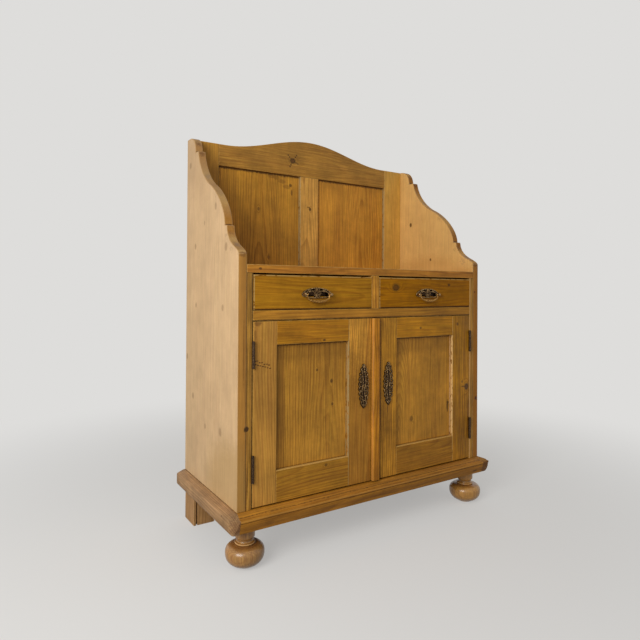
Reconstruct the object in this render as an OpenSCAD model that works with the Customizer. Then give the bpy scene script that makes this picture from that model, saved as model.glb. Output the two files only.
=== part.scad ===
// Pine cupboard with an open shelf above two drawers and two panelled doors.
// Millimetres. +X is the right-hand side seen from the front, +Y the back, +Z up.
// The origin is on the floor, under the middle of the whole piece.

/* [Carcass] */
// Width over the two side boards
body_w = 1020; // [960:1:1100]
// Depth of the side boards
body_d = 457; // [420:1:520]
// Thickness of the side boards
side_t = 27; // [22:1:32]
// Width of the strip glued inside the front edge of each side board
strip_w = 20; // [14:1:30]
// Thickness of that strip, front to back
strip_t = 24; // [20:1:30]
// Thickness of the cupboard floor
floor_t = 24; // [18:1:28]
// Thickness of the display shelf
shelf_t = 25; // [18:1:32]
// Thickness of the shelf inside the cupboard
inner_shelf_t = 20; // [14:1:26]
// Height of the inner shelf's top above the cupboard floor
inner_shelf_h = 226; // [180:1:260]
// Depth of the housings cut in the side boards for the shelves
housing_d = 8; // [4:1:12]
// Distance from the front edge at which the display shelf's housing stops
housing_stop = 14; // [8:1:30]
// Step cut along the top of the display shelf's tongues
housing_step = 3; // [2:0.5:6]

/* [Heights] */
// Height of the feet
foot_h = 120; // [100:1:150]
// Height of the base moulding
base_h = 54; // [48:1:66]
// Height of the door opening
door_opening_h = 556; // [500:1:640]
// Height of the rail under the drawers
rail_h = 31; // [24:1:40]
// Height of the drawer opening
drawer_opening_h = 112; // [90:1:150]
// Height of the side boards above the display shelf
gallery_h = 465; // [420:1:520]
// Height of the crest's middle above the side boards
crest_rise = 64; // [40:1:90]

/* [Gallery scroll] */
// Straight height of the side boards' front edge above the shelf
nose_h = 30; // [16:1:40]
// Distance that the lower curve runs back
nose_l = 91; // [70:1:110]
// Height of the lower ledge above the shelf
low_ledge_h = 122; // [110:1:140]
// Width of the lower ledge
low_ledge_w = 14; // [6:1:20]
// Drop of the upper ledge below the top of the side boards
high_ledge_drop = 62; // [50:1:80]
// Distance of the upper ledge's back from the rear edge
high_ledge_back = 86; // [70:1:100]
// Width of the upper ledge
high_ledge_w = 26; // [12:1:30]
// Half-width of the curved part of the crest
crest_half = 375; // [320:1:385]

/* [Back] */
// Thickness of the back frame
back_t = 22; // [18:1:26]
// Distance of the back frame from the rear edge of the side boards
back_inset = 3; // [1:1:6]
// Width of the rebate in the side boards that holds the back
rebate_w = 12; // [8:1:15]
// Width of the back stiles that shows between the side boards
back_stile_w = 88; // [70:1:110]
// Width of the back muntin
muntin_w = 85; // [60:1:110]
// Sideways shift of the hand-cut back frame
back_shift = -5; // [-10:1:10]
// Height of the crest rail below the top of the side boards
crest_rail_h = 80; // [60:1:110]
// Height of the rail behind the display shelf
back_rail_h = 80; // [60:1:100]
// Thickness of the back panels
back_panel_t = 8; // [6:1:9]
// Depth of the back panels behind the front of their frame
back_recess = 9; // [6:1:10]
// Thickness of the boards behind the cupboard
back_board_t = 14; // [12:1:18]
// Number of boards behind the cupboard
back_boards = 5; // [4:1:8]
// Gap between two of these boards
back_board_gap = 1.5; // [1:0.5:3]
// Width of the lap between two of these boards
back_board_lap = 7; // [5:1:10]

/* [Base] */
// Projection of the base moulding
base_proj = 30; // [24:1:36]
// Width of the rails of the base frame
frame_w = 76; // [72:1:110]
// Height of the front moulding's lip above its lower edge
lip_z = 34; // [28:1:36]
// Height of the lip itself
lip_h = 8; // [6:1:10]
// Width of the lip's top
lip_w = 6; // [4:1:8]
// Depth of the quirks above and below the lip
quirk = 2.5; // [1:0.5:4]
// Run-back of the front moulding's face at the bottom
ogee_in = 10; // [6:1:12]
// Flat left between the front moulding's bevel and the body
top_flat = 4; // [2:1:8]
// Fall of the side mouldings' top over their projection
side_fall = 8; // [4:1:12]
// Rounding of the side mouldings' upper edges
side_round = 5; // [3:1:8]
// Run-back of the side mouldings' faces at the bottom
side_under = 9; // [4:1:12]
// Width of the worn cut across the left moulding's front corner
corner_w = 28; // [12:1:28]
// Reach of that cut along the moulding's side
corner_back = 18; // [8:1:24]

/* [Feet] */
// Distance of the left front foot's axis from the body's side
left_foot_in = 44; // [30:1:60]
// Distance of the right front foot's axis from the body's side
right_foot_in = 29; // [29:1:60]
// Distance of the front feet's axes from the body's front
foot_back = 38; // [34:1:42]
// Largest radius of the bun
bun_r = 59; // [50:1:59]
// Height of the bun's widest place above the floor
bun_z = 42; // [36:1:46]
// Height of the bun's shoulder above its widest place
bun_up = 30; // [27:1:36]
// Fullness of the bun's curve, 2 for a plain ellipse
bun_full = 2.4; // [2:0.1:3]
// Radius of the foot's flat base
foot_base_r = 26; // [20:1:28]
// Radius of the neck
neck_r = 24; // [20:1:25]
// Height of the neck above the floor
neck_z = 77; // [75:1:80]
// Radius of the collar under the base
collar_r = 30; // [28:1:34]
// Radius of the ring on top of the bun
ring_r = 31; // [30:1:34]
// Height of that ring
ring_h = 7; // [5:1:8]
// Radius of the peg
peg_r = 13; // [10:1:13]
// Length of the peg
peg_l = 28; // [18:1:28]
// Width of the rear feet
rear_foot_w = 75; // [60:1:90]
// Depth of the rear feet
rear_foot_d = 90; // [60:1:100]
// Distance of the rear feet's outer face from the body's side
rear_foot_in = 2; // [0:1:14]
// Width of the saw kerf in the rear feet
kerf_w = 5; // [2:1:6]
// Length of the saw kerf
kerf_l = 12; // [8:1:20]
// Distance of the saw kerf from the foot's outer face
kerf_in = 9; // [6:1:14]
// Wood left above the saw kerf
kerf_top = 8; // [6:1:20]

/* [Doors] */
// Thickness of the doors
door_t = 24; // [20:1:30]
// Gap at the doors' upright edges
door_gap = 2; // [1.5:0.5:3]
// Gap above the doors
door_top_gap = 2; // [1:0.5:4]
// Gap below the doors
door_bottom_gap = 5; // [2:0.5:8]
// Width of the left door's hinge stile
left_hinge_stile_w = 79; // [60:1:110]
// Width of the left door's lock stile
left_lock_stile_w = 93; // [70:1:120]
// Width of the right door's hinge stile
right_hinge_stile_w = 90; // [60:1:110]
// Width of the right door's lock stile
right_lock_stile_w = 112; // [95:1:140]
// Height of the doors' top rails
door_top_rail_h = 72; // [50:1:100]
// Height of the doors' bottom rails
door_bottom_rail_h = 96; // [60:1:130]
// Thickness of the door panels
door_panel_t = 7; // [5:1:8]
// Depth of the door panels behind the doors' faces
door_recess = 12; // [8:1:13]
// Depth of the panel grooves in all frames
groove_d = 9; // [6:1:12]
// Room left for the panels to swell at each edge
panel_play = 1; // [0.5:0.5:2]

/* [Meeting bead] */
// Width of the bead and of the divider between the drawers
bead_w = 31; // [24:1:40]
// Projection of the bead
bead_t = 12; // [8:1:16]
// Rounding of the bead's edges
bead_round = 7; // [4:1:7]
// Distance of the bead and the divider from the middle
centre_x = -3; // [-10:1:10]

/* [Hinges] */
// Length of the hinges
hinge_l = 78; // [60:1:90]
// Distance from the upper hinge's middle to the top of the door
hinge_top_off = 98; // [70:1:130]
// Distance from the lower hinge's middle to the bottom of the door
hinge_bottom_off = 114; // [70:1:140]
// Radius of the hinge knuckles
knuckle_r = 4; // [3.5:0.5:5]
// Radius of the hinge pins
pin_r = 2; // [1.5:0.1:2.4]
// Radial clearance of the hinge and bail pins
pin_fit = 0.06; // [0.03:0.01:0.1]
// Thickness of the hinge leaves
leaf_t = 2; // [1.5:0.5:2.5]
// Width of the hinge leaves let in to the wood
leaf_w = 19; // [14:1:19]

/* [Lock and bolt] */
// Height of the keyholes above the doors' lower edge
key_h = 322; // [300:1:360]
// Distance of the right keyhole from the right door's meeting edge
right_key_in = 73; // [60:1:80]
// Distance of the left keyhole from the left door's meeting edge
left_key_in = 32; // [28:1:60]
// Height of the lock case
lock_h = 60; // [50:1:70]
// Thickness of the lock case
lock_t = 13; // [11:1:15]
// Height of the lock's bolt
lock_bolt_h = 14; // [10:1:18]
// Thickness of the lock's bolt
lock_bolt_t = 5; // [4:1:6]
// Length of the lock's bolt
lock_bolt_l = 40; // [30:1:45]
// Throw of the lock's bolt
lock_throw = 10; // [8:1:12]
// Width of the left door's bolt
slip_bolt_w = 9; // [7:1:12]
// Thickness of the left door's bolt
slip_bolt_t = 6; // [4:1:8]
// Length of the left door's bolt
slip_bolt_l = 120; // [100:1:140]
// Throw of the left door's bolt
slip_throw = 14; // [10:1:16]
// Clearance of the sliding bolts
bolt_fit = 0.3; // [0.2:0.1:0.5]

/* [Drawers] */
// Gap at each side of the drawer fronts
drawer_gap = 1.5; // [1:0.5:3]
// Gap below the drawer fronts
drawer_gap_z = 1.5; // [1:0.5:3]
// Gap above the drawer fronts
drawer_gap_top = 5; // [1.5:0.5:7]
// Thickness of the drawer fronts
drawer_front_t = 20; // [16:1:26]
// Thickness of the drawer sides and backs
drawer_side_t = 12; // [9:1:14]
// Thickness of the drawer bottoms
drawer_bottom_t = 7; // [5:1:9]
// Height of the drawer bottoms' underside above the lower edge of the sides
drawer_bottom_up = 8; // [6:1:12]
// Depth of the grooves for the drawer bottoms
drawer_groove = 5; // [4:1:7]
// Clearance of the drawer sides over their runners
runner_fit = 0.3; // [0.2:0.1:1]
// Room between the drawers and the back boards
drawer_back_gap = 2; // [1:0.5:6]
// Length of the dovetails
tail_l = 14; // [10:1:15]
// Depth of the rail under the drawers, front to back
rail_d = 60; // [50:1:90]
// Height of the drawer runners
runner_h = 22; // [16:1:24]
// Width of the runners beyond the guides
runner_w = 24; // [18:1:40]
// Height of the guides
guide_h = 40; // [20:1:60]

/* [Drawer pulls] */
// Distance between the two posts of a pull
post_span = 98; // [90:1:110]
// Radius of the posts
post_r = 4.5; // [4:0.5:5.5]
// Distance of the bail's axis from the drawer front
bail_out = 12; // [10:1:14]
// Distance that the bail hangs below its axis
bail_drop = 24; // [20:1:28]
// Radius of the bail's rod
bail_r = 2.8; // [2.2:0.2:3]
// Radius of the pins at the bail's ends
bail_pin_r = 1.9; // [1.5:0.1:2]
// Gap between the bail's ends and the posts
bail_side_gap = 0.5; // [0.3:0.1:1]
// Thickness of the pull plates and escutcheons
plate_t = 2.5; // [1.5:0.5:3]
// Height of the pull plate above the bail's axis
plate_up = 22; // [18:1:26]
// Depth of the pull plate below the bail's axis
plate_down = 13; // [10:1:16]
// Width of the pull plate's rim
rim_w = 3.5; // [3:0.5:5]
// Height of the pull plate's two arms above the bail's axis
arm_up = 9; // [7:1:11]
// Drop of the bail's axis below the middle of the drawer front
pull_drop = 8; // [0:1:14]

/* [Escutcheons] */
// Height of the escutcheons
escutcheon_h = 150; // [130:1:170]
// Width of the escutcheons
escutcheon_w = 44; // [38:1:50]
// Radius of the keyholes' round part
key_r = 4; // [3:0.5:5]
// Width of the keyholes' slot
key_slot_w = 3.4; // [2:0.2:4]
// Length of the keyholes' slot below its round part
key_slot_l = 15; // [10:1:18]

/* [Hidden] */
$fn = 48;
cut = 1; // how far a cutting shape runs past the face that it opens

// Colours
side_pine = "#c9a677";
front_pine = "#a37638";
drawer_pine = "#8f6420";
shadow_pine = "#8b6126";
bead_pine = "#b0733a";
base_pine = "#8a5c1d";
base_side_pine = "#a67c55";
foot_pine = "#a87c42";
bronze = "#3f362a";
bail_brass = "#86703f";
iron = "#2e2a27";

// Places worked out from the sizes, with Y counted from the body's front plane
half_w = body_w / 2;
inner_half = half_w - side_t;
opening_half = inner_half - strip_w;
front_y = base_proj - (body_d + base_proj) / 2;
base_top = foot_h + base_h;
floor_top = base_top + floor_t;
rail_z = base_top + door_opening_h;
drawer_z = rail_z + rail_h;
shelf_z = drawer_z + drawer_opening_h;
shelf_top = shelf_z + shelf_t;
gallery_top = shelf_top + gallery_h;
back_y = body_d - back_inset - back_t;
back_half = inner_half + rebate_w;
stop_y = max(door_t, strip_t) + door_gap; // front edges of the boards that the doors close against
inner_shelf_z = floor_top + inner_shelf_h - inner_shelf_t;

bead_left = centre_x - bead_w / 2;
bead_right = centre_x + bead_w / 2;
door_z0 = base_top + door_bottom_gap;
door_z1 = rail_z - door_top_gap;
left_door_x0 = -opening_half + door_gap;
left_door_x1 = bead_left - door_gap;
right_door_x0 = bead_left;
right_door_x1 = opening_half - door_gap;
pivot_x = opening_half - door_gap / 2;
pivot_y = -knuckle_r - 0.2;
hinge_z = [door_z0 + hinge_bottom_off - hinge_l / 2, door_z1 - hinge_top_off - hinge_l / 2];
key_z = door_z0 + key_h;
right_key_x = right_door_x0 + right_key_in;
left_key_x = left_door_x1 - left_key_in;
bolt_z = key_z + lock_h / 4;
slip_x = left_door_x1 - left_key_in;
slip_y = door_t + plate_t;
pull_z = drawer_z + drawer_opening_h / 2 - pull_drop;

// Moves a piece from its place behind the front plane to the part's own frame
module placed() {
    translate([0, front_y, 0]) children();
}

// Board between two opposite corners
module board(a, b) {
    translate(a) cube(b - a);
}

// Upright outline in Y and Z, extruded along X from x0 to x1
module side_profile(x0, x1) {
    translate([x0, 0, 0]) rotate([90, 0, 90]) linear_extrude(x1 - x0) children();
}

// Upright outline in X and Z, extruded along Y from y0 to y1
module front_profile(y0, y1) {
    translate([0, y1, 0]) rotate([90, 0, 0]) linear_extrude(y1 - y0) children();
}

// Points of a cubic curve, without its first point
function curve(a, b, c, d, n = 10) = [for (i = [1 : n])
    let (t = i / n, s = 1 - t)
    s * s * s * a + 3 * s * s * t * b + 3 * s * t * t * c + t * t * t * d];

// Points of an arc round a centre, from one angle to another
function arc(c, r, a0, a1, n = 8) = [for (i = [0 : n])
    let (a = a0 + (a1 - a0) * i / n) c + r * [cos(a), sin(a)]];

// Scrolled outline of a side board, from the bottom of the front edge
nose = [0, shelf_top + nose_h];
ledge1 = [nose_l, shelf_top + low_ledge_h];
ledge1_back = ledge1 + [low_ledge_w, 0];
ledge2_back = [body_d - high_ledge_back, gallery_top - high_ledge_drop];
ledge2 = ledge2_back - [high_ledge_w, 0];
sweep = ledge2 - ledge1_back;
turn = ledge1_back + [sweep[0] * 0.56, sweep[1] * 0.535];
top_start = [ledge2_back[0] + high_ledge_back * 0.74, gallery_top];
rise = low_ledge_h - nose_h;
side_outline = concat(
    [[0, base_top], nose],
    curve(nose, nose + [nose_l * 0.11, rise * 0.26], ledge1 - [nose_l * 0.055, rise * 0.7], ledge1),
    [ledge1_back],
    curve(ledge1_back, ledge1_back + [2, sweep[1] * 0.19],
        turn - [sweep[0] * 0.28, sweep[1] * 0.105], turn, 14),
    curve(turn, turn + [sweep[0] * 0.21, sweep[1] * 0.095],
        ledge2 - [sweep[0] * 0.04, sweep[1] * 0.19], ledge2, 14),
    [ledge2_back],
    curve(ledge2_back, ledge2_back + [2, high_ledge_drop * 0.6],
        [ledge2_back[0] + high_ledge_back * 0.24, gallery_top], top_start),
    [[body_d, gallery_top], [body_d, base_top]]);

module side_board() {
    difference() {
        side_profile(-half_w, -inner_half) polygon(side_outline);
        board([-back_half, back_y, base_top - cut], [-inner_half + cut, body_d + cut, gallery_top + cut]);
        board([-inner_half - housing_d, housing_stop, shelf_z],
            [-inner_half + cut, back_y + cut, shelf_top - housing_step]);
        board([-inner_half - housing_d, stop_y, base_top - cut],
            [-inner_half + cut, back_y + cut, floor_top]);
        board([-inner_half - housing_d, stop_y, inner_shelf_z],
            [-inner_half + cut, back_y + cut, inner_shelf_z + inner_shelf_t]);
    }
}

module side_left() {
    color(side_pine) placed() side_board();
}

module side_right() {
    color(side_pine) placed() mirror([1, 0, 0]) side_board();
}

// Shelf top with the tongues that stand in the side boards
module display_shelf() {
    color(front_pine) placed() {
        board([-inner_half, 0, shelf_z], [inner_half, back_y, shelf_top]);
        for (side = [-1, 1])
            board([side * inner_half - housing_d * (1 - side) / 2, housing_stop, shelf_z],
                [side * inner_half + housing_d * (1 + side) / 2, back_y, shelf_top - housing_step]);
    }
}

// Floor lying on the base frame, its front edge stopping the doors
module cupboard_floor() {
    color(shadow_pine) placed()
        board([-inner_half - housing_d, stop_y, base_top], [inner_half + housing_d, back_y, floor_top]);
}

module inner_shelf() {
    color(shadow_pine) placed()
        board([-inner_half - housing_d, stop_y, inner_shelf_z],
            [inner_half + housing_d, back_y, inner_shelf_z + inner_shelf_t]);
}

// Strip beside the doors and drawers, let in for the two hinges
module face_strip() {
    difference() {
        board([opening_half, 0, base_top], [inner_half, strip_t, shelf_z]);
        for (z = hinge_z)
            board([opening_half - cut, -cut, z], [opening_half + leaf_t, leaf_w, z + hinge_l]);
    }
}

module face_strip_left() {
    color(front_pine) placed() mirror([1, 0, 0]) face_strip();
}

module face_strip_right() {
    color(front_pine) placed() face_strip();
}

// Rail under the drawers, notched round the strips, with the left bolt's hole
module drawer_rail() {
    color(front_pine) placed() difference() {
        union() {
            board([-opening_half, 0, rail_z], [opening_half, strip_t, drawer_z]);
            board([-inner_half, strip_t, rail_z], [inner_half, rail_d, drawer_z]);
        }
        board([slip_x - slip_bolt_w / 2 - 1, slip_y - 1, rail_z - cut],
            [slip_x + slip_bolt_w / 2 + 1, slip_y + slip_bolt_t + 2, rail_z + slip_throw + 1]);
    }
}

module drawer_divider() {
    color(front_pine) placed()
        board([bead_left, 0, drawer_z], [bead_right, rail_d, shelf_z]);
}

// Two side runners and one middle runner, each with its guide
module drawer_runners() {
    color(shadow_pine) placed() {
        for (side = [-1, 1]) {
            board([side * inner_half - (1 + side) / 2 * (strip_w + runner_w), rail_d, drawer_z - runner_h],
                [side * inner_half + (1 - side) / 2 * (strip_w + runner_w), back_y, drawer_z]);
            board([side * inner_half - (1 + side) / 2 * strip_w, strip_t, drawer_z],
                [side * inner_half + (1 - side) / 2 * strip_w, back_y, drawer_z + guide_h]);
        }
        board([bead_left - runner_w, rail_d, drawer_z - runner_h],
            [bead_right + runner_w, back_y, drawer_z]);
        board([bead_left, rail_d, drawer_z], [bead_right, back_y, drawer_z + guide_h]);
    }
}

// Lapped boards nailed over the back of the cupboard
module lower_back_boards() {
    pitch = 2 * back_half / back_boards;
    top = shelf_top - back_rail_h;
    half_t = back_board_t / 2;
    tongue_t = half_t - back_board_gap / 5;
    color(shadow_pine) placed() for (i = [0 : back_boards - 1]) {
        x0 = -back_half + i * pitch;
        x1 = x0 + pitch - (i < back_boards - 1 ? back_board_gap : 0);
        difference() {
            board([x0, back_y, base_top], [x1, back_y + back_board_t, top]);
            if (i < back_boards - 1)
                board([x1 - back_board_lap, back_y - cut, base_top - cut],
                    [x1 + cut, back_y + half_t, top + cut]);
        }
        if (i > 0)
            board([x0 - back_board_lap, back_y, base_top], [x0, back_y + tongue_t, top]);
    }
}

// Upright frame member with a panel groove in its left edge, its right edge or both
module upright(x0, x1, y, t, recess, panel_t, z0, z1, sides) {
    difference() {
        board([x0, y, z0], [x1, y + t, z1]);
        for (side = sides) {
            gx0 = side < 0 ? x0 - cut : x1 - groove_d;
            gx1 = side < 0 ? x0 + groove_d : x1 + cut;
            board([gx0, y + recess, z0 - cut], [gx1, y + recess + panel_t, z1 + cut]);
        }
    }
}

// Stub tenons at both ends of a rail, as thick as the panel groove
module stub_tenons(x0, x1, y, recess, panel_t, z0, z1) {
    board([x0 - groove_d, y + recess, z0], [x0, y + recess + panel_t, z1]);
    board([x1, y + recess, z0], [x1 + groove_d, y + recess + panel_t, z1]);
}

// Panel between four grooves, with room to swell
module panel(x0, x1, y, panel_t, z0, z1) {
    reach = groove_d - panel_play;
    board([x0 - reach, y, z0 - reach], [x1 + reach, y + panel_t, z1 + reach]);
}

back_left = -inner_half + back_stile_w + back_shift;
back_right = inner_half - back_stile_w + back_shift;
muntin_left = back_shift - muntin_w / 2;
muntin_right = back_shift + muntin_w / 2;
crest_rail_z = gallery_top - crest_rail_h;
back_rail_z = shelf_top - back_rail_h;

module back_upright(x0, x1, z0, z1, sides) {
    placed() upright(x0, x1, back_y, back_t, back_recess, back_panel_t, z0, z1, sides);
}

module back_stile_left() {
    color(side_pine) back_upright(-back_half, back_left, back_rail_z, gallery_top, [1]);
}

module back_stile_right() {
    color(front_pine) back_upright(back_right, back_half, back_rail_z, gallery_top, [-1]);
}

module back_muntin() {
    tongue = groove_d - panel_play;
    color(front_pine) {
        back_upright(muntin_left, muntin_right, shelf_top, crest_rail_z, [-1, 1]);
        placed() for (z = [shelf_top - tongue, crest_rail_z])
            board([muntin_left + groove_d, back_y + back_recess, z],
                [muntin_right - groove_d, back_y + back_recess + back_panel_t, z + tongue]);
    }
}

// Rising outline of the crest, one smooth wave over the middle of the rail
function crest_z(x) = gallery_top + (abs(x) < crest_half ? crest_rise * (1 + cos(180 * x / crest_half)) / 2 : 0);

module back_crest_rail() {
    steps = 48;
    color(front_pine) placed() {
        difference() {
            front_profile(back_y, back_y + back_t) polygon(concat(
                [[back_right, crest_rail_z]],
                [for (i = [0 : steps]) let (x = back_right + (back_left - back_right) * i / steps)
                    [x, crest_z(x)]],
                [[back_left, crest_rail_z]]));
            board([back_left - cut, back_y + back_recess, crest_rail_z - cut],
                [back_right + cut, back_y + back_recess + back_panel_t, crest_rail_z + groove_d]);
        }
        stub_tenons(back_left, back_right, back_y, back_recess, back_panel_t,
            crest_rail_z + groove_d, gallery_top);
    }
}

module back_bottom_rail() {
    color(shadow_pine) placed() {
        difference() {
            board([back_left, back_y, back_rail_z], [back_right, back_y + back_t, shelf_top]);
            board([back_left - cut, back_y + back_recess, shelf_top - groove_d],
                [back_right + cut, back_y + back_recess + back_panel_t, shelf_top + cut]);
        }
        stub_tenons(back_left, back_right, back_y, back_recess, back_panel_t,
            back_rail_z, shelf_top - groove_d);
    }
}

module back_panel_left() {
    color(shadow_pine) placed()
        panel(back_left, muntin_left, back_y + back_recess, back_panel_t, shelf_top, crest_rail_z);
}

module back_panel_right() {
    color(shadow_pine) placed()
        panel(muntin_right, back_right, back_y + back_recess, back_panel_t, shelf_top, crest_rail_z);
}

// Front moulding's section: projection from the body, and height above its lower edge
face_foot = [base_proj - ogee_in, 0];
face_head = [base_proj - quirk, lip_z];
lip_top = lip_z + lip_h;
front_section = concat(
    [[0, 0], face_foot],
    curve(face_foot, face_foot + [2, lip_z * 0.45], face_head - [0, lip_z * 0.5], face_head),
    [[base_proj, lip_z]],
    arc([base_proj - lip_w / 2, lip_top - lip_w / 2], lip_w / 2, 0, 180, 8),
    [[base_proj - lip_w, lip_top - quirk], [top_flat, base_h], [0, base_h]]);

// Plainer section of the side mouldings, with rounded edges
side_corner = [base_proj - side_round, base_h - side_fall];
side_section = concat(
    [[0, 0], [base_proj - side_under, 0]],
    curve([base_proj - side_under, 0], [base_proj - side_under / 3, side_under * 0.4],
        [base_proj, side_under * 0.9], [base_proj, side_under * 1.6], 6),
    curve([base_proj, side_corner[1] - side_round], [base_proj, side_corner[1] - side_round / 2],
        side_corner + [side_round / 2, -1], side_corner, 6),
    [[top_flat, base_h], [0, base_h]]);

left_foot_x = -half_w + left_foot_in;
right_foot_x = half_w - right_foot_in;

// Front moulding's section, extruded along X from x0 to x1
module front_moulding(x0, x1) {
    translate([x0, 0, foot_h]) rotate([90, 0, 90]) mirror([1, 0, 0])
        linear_extrude(x1 - x0) polygon(front_section);
}

// Front rail of the base frame, moulded in the solid and bored for the feet's pegs
module base_front() {
    color(base_pine) placed() difference() {
        union() {
            board([-half_w, 0, foot_h], [half_w, frame_w, base_top]);
            front_moulding(-half_w, half_w);
        }
        for (x = [left_foot_x, right_foot_x]) translate([x, foot_back, foot_h - cut])
            cylinder(r = peg_r + pin_fit, h = peg_l + 1 + cut);
    }
}

// Left-hand moulding nailed to the base frame, its front end shaped to the front moulding's section
module side_moulding() {
    x0 = -half_w - base_proj - cut;
    intersection() {
        translate([-half_w, body_d, foot_h]) rotate([90, 0, 0]) mirror([1, 0, 0])
            linear_extrude(body_d + base_proj) polygon(side_section);
        union() {
            front_moulding(x0, -half_w + cut);
            board([x0, 0, foot_h - cut], [-half_w + cut, body_d + cut, base_top + cut]);
        }
    }
}

module base_left() {
    color(base_side_pine) placed() difference() {
        side_moulding();
        translate([-half_w - base_proj, -base_proj, foot_h - cut]) linear_extrude(base_h + 2 * cut)
            polygon([[-cut, -cut], [corner_w, -cut], [corner_w, 0], [0, corner_back], [-cut, corner_back]]);
    }
}

module base_right() {
    color(base_pine) placed() mirror([1, 0, 0]) side_moulding();
}

// Rails of the base frame under the two side boards, behind the front rail
module base_side_rails() {
    color(shadow_pine) placed() for (side = [-1, 1])
        board([side * half_w - (1 + side) / 2 * frame_w, frame_w, foot_h],
            [side * half_w + (1 - side) / 2 * frame_w, body_d, base_top]);
}

module base_rear_rail() {
    color(shadow_pine) placed()
        board([-half_w + frame_w, body_d - frame_w, foot_h], [half_w - frame_w, body_d, base_top]);
}

// Point of the bun's full curve, h high above (a > 0) or below (a < 0) its widest place
function bun_point(a, h) = [bun_r * pow(cos(a), 2 / bun_full),
    bun_z + sign(a) * h * pow(abs(sin(a)), 2 / bun_full)];

// Turned foot: base disc, full bun, ring, neck, collar and peg
module bun_foot() {
    foot_lip = 6;
    steps = 9;
    ring_z = neck_z - 1.6 * ring_h;
    ring_in = ring_r - ring_h / 2;
    cove = collar_r - neck_r;
    low = asin(pow((bun_z - foot_lip) / bun_z, bun_full / 2));
    high = asin(pow((ring_z - bun_z) / bun_up, bun_full / 2));
    bun = concat([for (i = [-steps : -1]) bun_point(low * i / steps, bun_z)],
        [for (i = [0 : steps]) bun_point(high * i / steps, bun_up)]);
    rotate_extrude() polygon(concat(
        [[0, 0], [foot_base_r, 0], [foot_base_r, foot_lip]],
        bun,
        arc([ring_in, ring_z + ring_h / 2], ring_h / 2, -90, 90, 6),
        curve([ring_in, ring_z + ring_h], [neck_r, ring_z + ring_h],
            [neck_r, neck_z], [neck_r, neck_z + 2], 5),
        curve([neck_r, neck_z + 2], [neck_r, neck_z + cove], [collar_r, neck_z + cove],
            [collar_r, neck_z + 1.8 * cove], 6),
        [[collar_r, foot_h], [peg_r, foot_h], [peg_r, foot_h + peg_l], [0, foot_h + peg_l]]));
}

module bun_foot_left() {
    color(foot_pine) placed() translate([left_foot_x, foot_back, 0]) bun_foot();
}

module bun_foot_right() {
    color(foot_pine) placed() translate([right_foot_x, foot_back, 0]) bun_foot();
}

// Square rear foot under the side rail, with the saw kerf beside its cheek
module rear_foot() {
    x0 = -half_w + rear_foot_in;
    y0 = body_d - rear_foot_d;
    difference() {
        board([x0, y0, 0], [x0 + rear_foot_w, body_d, foot_h]);
        board([x0 + kerf_in, y0 - cut, -cut], [x0 + kerf_in + kerf_w, y0 + kerf_l, foot_h - kerf_top]);
    }
}

module rear_foot_left() {
    color(base_side_pine) placed() rear_foot();
}

module rear_foot_right() {
    color(base_side_pine) placed() mirror([1, 0, 0]) rear_foot();
}

// Knuckles of one hinge leaf and the webs that join them to it
module knuckle_set(first, web_x0, web_x1) {
    pitch = hinge_l / 5;
    gap = 0.3;
    difference() {
        for (i = [first : 2 : 4]) translate([0, 0, i * pitch]) {
            translate([0, 0, gap / 2]) cylinder(r = knuckle_r, h = pitch - gap);
            board([web_x0, 0, gap / 2], [web_x1, -pivot_y + cut, pitch - gap / 2]);
        }
        translate([0, 0, -cut]) cylinder(r = pin_r + pin_fit, h = hinge_l + 2 * cut);
    }
}

// Leaf let in to the strip (frame) or to the door's edge, right-hand side
module hinge_leaf(frame) {
    x0 = frame ? opening_half : opening_half - door_gap - leaf_t;
    for (z = hinge_z) {
        board([x0, 0, z], [x0 + leaf_t, leaf_w, z + hinge_l]);
        translate([pivot_x, pivot_y, z])
            knuckle_set(frame ? 0 : 1, x0 - pivot_x, x0 + leaf_t - pivot_x);
    }
}

module hinge_frame_leaves() {
    color(iron) placed() {
        hinge_leaf(true);
        mirror([1, 0, 0]) hinge_leaf(true);
    }
}

module hinge_pins() {
    head = 1.5;
    color(iron) placed() for (side = [-1, 1]) for (z = hinge_z)
        translate([side * pivot_x, pivot_y, z]) {
            cylinder(r = pin_r, h = hinge_l);
            translate([0, 0, -head]) cylinder(r = knuckle_r - 0.5, h = head);
            translate([0, 0, hinge_l]) cylinder(r = knuckle_r - 0.5, h = head);
        }
}

module left_door_hinge_leaves() {
    color(iron) placed() mirror([1, 0, 0]) hinge_leaf(false);
}

module right_door_hinge_leaves() {
    color(iron) placed() hinge_leaf(false);
}

// Waste cut out of a right-hand hinge stile for the two leaves
module leaf_waste() {
    x1 = opening_half - door_gap;
    for (z = hinge_z)
        board([x1 - leaf_t, -cut, z], [x1 + cut, leaf_w, z + hinge_l]);
}

left_panel_x0 = left_door_x0 + left_hinge_stile_w;
left_panel_x1 = left_door_x1 - left_lock_stile_w;
right_panel_x0 = right_door_x0 + right_lock_stile_w;
right_panel_x1 = right_door_x1 - right_hinge_stile_w;
panel_z0 = door_z0 + door_bottom_rail_h;
panel_z1 = door_z1 - door_top_rail_h;

module door_stile(x0, x1, side) {
    upright(x0, x1, 0, door_t, door_recess, door_panel_t, door_z0, door_z1, [side]);
}

// Rail between x0 and x1 with its panel groove on the upper (1) or lower (-1) edge
module door_rail(x0, x1, z0, z1, edge) {
    groove_z = edge > 0 ? z1 - groove_d : z0;
    difference() {
        board([x0, 0, z0], [x1, door_t, z1]);
        board([x0 - cut, door_recess, groove_z - (edge > 0 ? 0 : cut)],
            [x1 + cut, door_recess + door_panel_t, groove_z + groove_d + (edge > 0 ? cut : 0)]);
    }
    stub_tenons(x0, x1, 0, door_recess, door_panel_t,
        edge > 0 ? z0 : z0 + groove_d, edge > 0 ? z1 - groove_d : z1);
}

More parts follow.
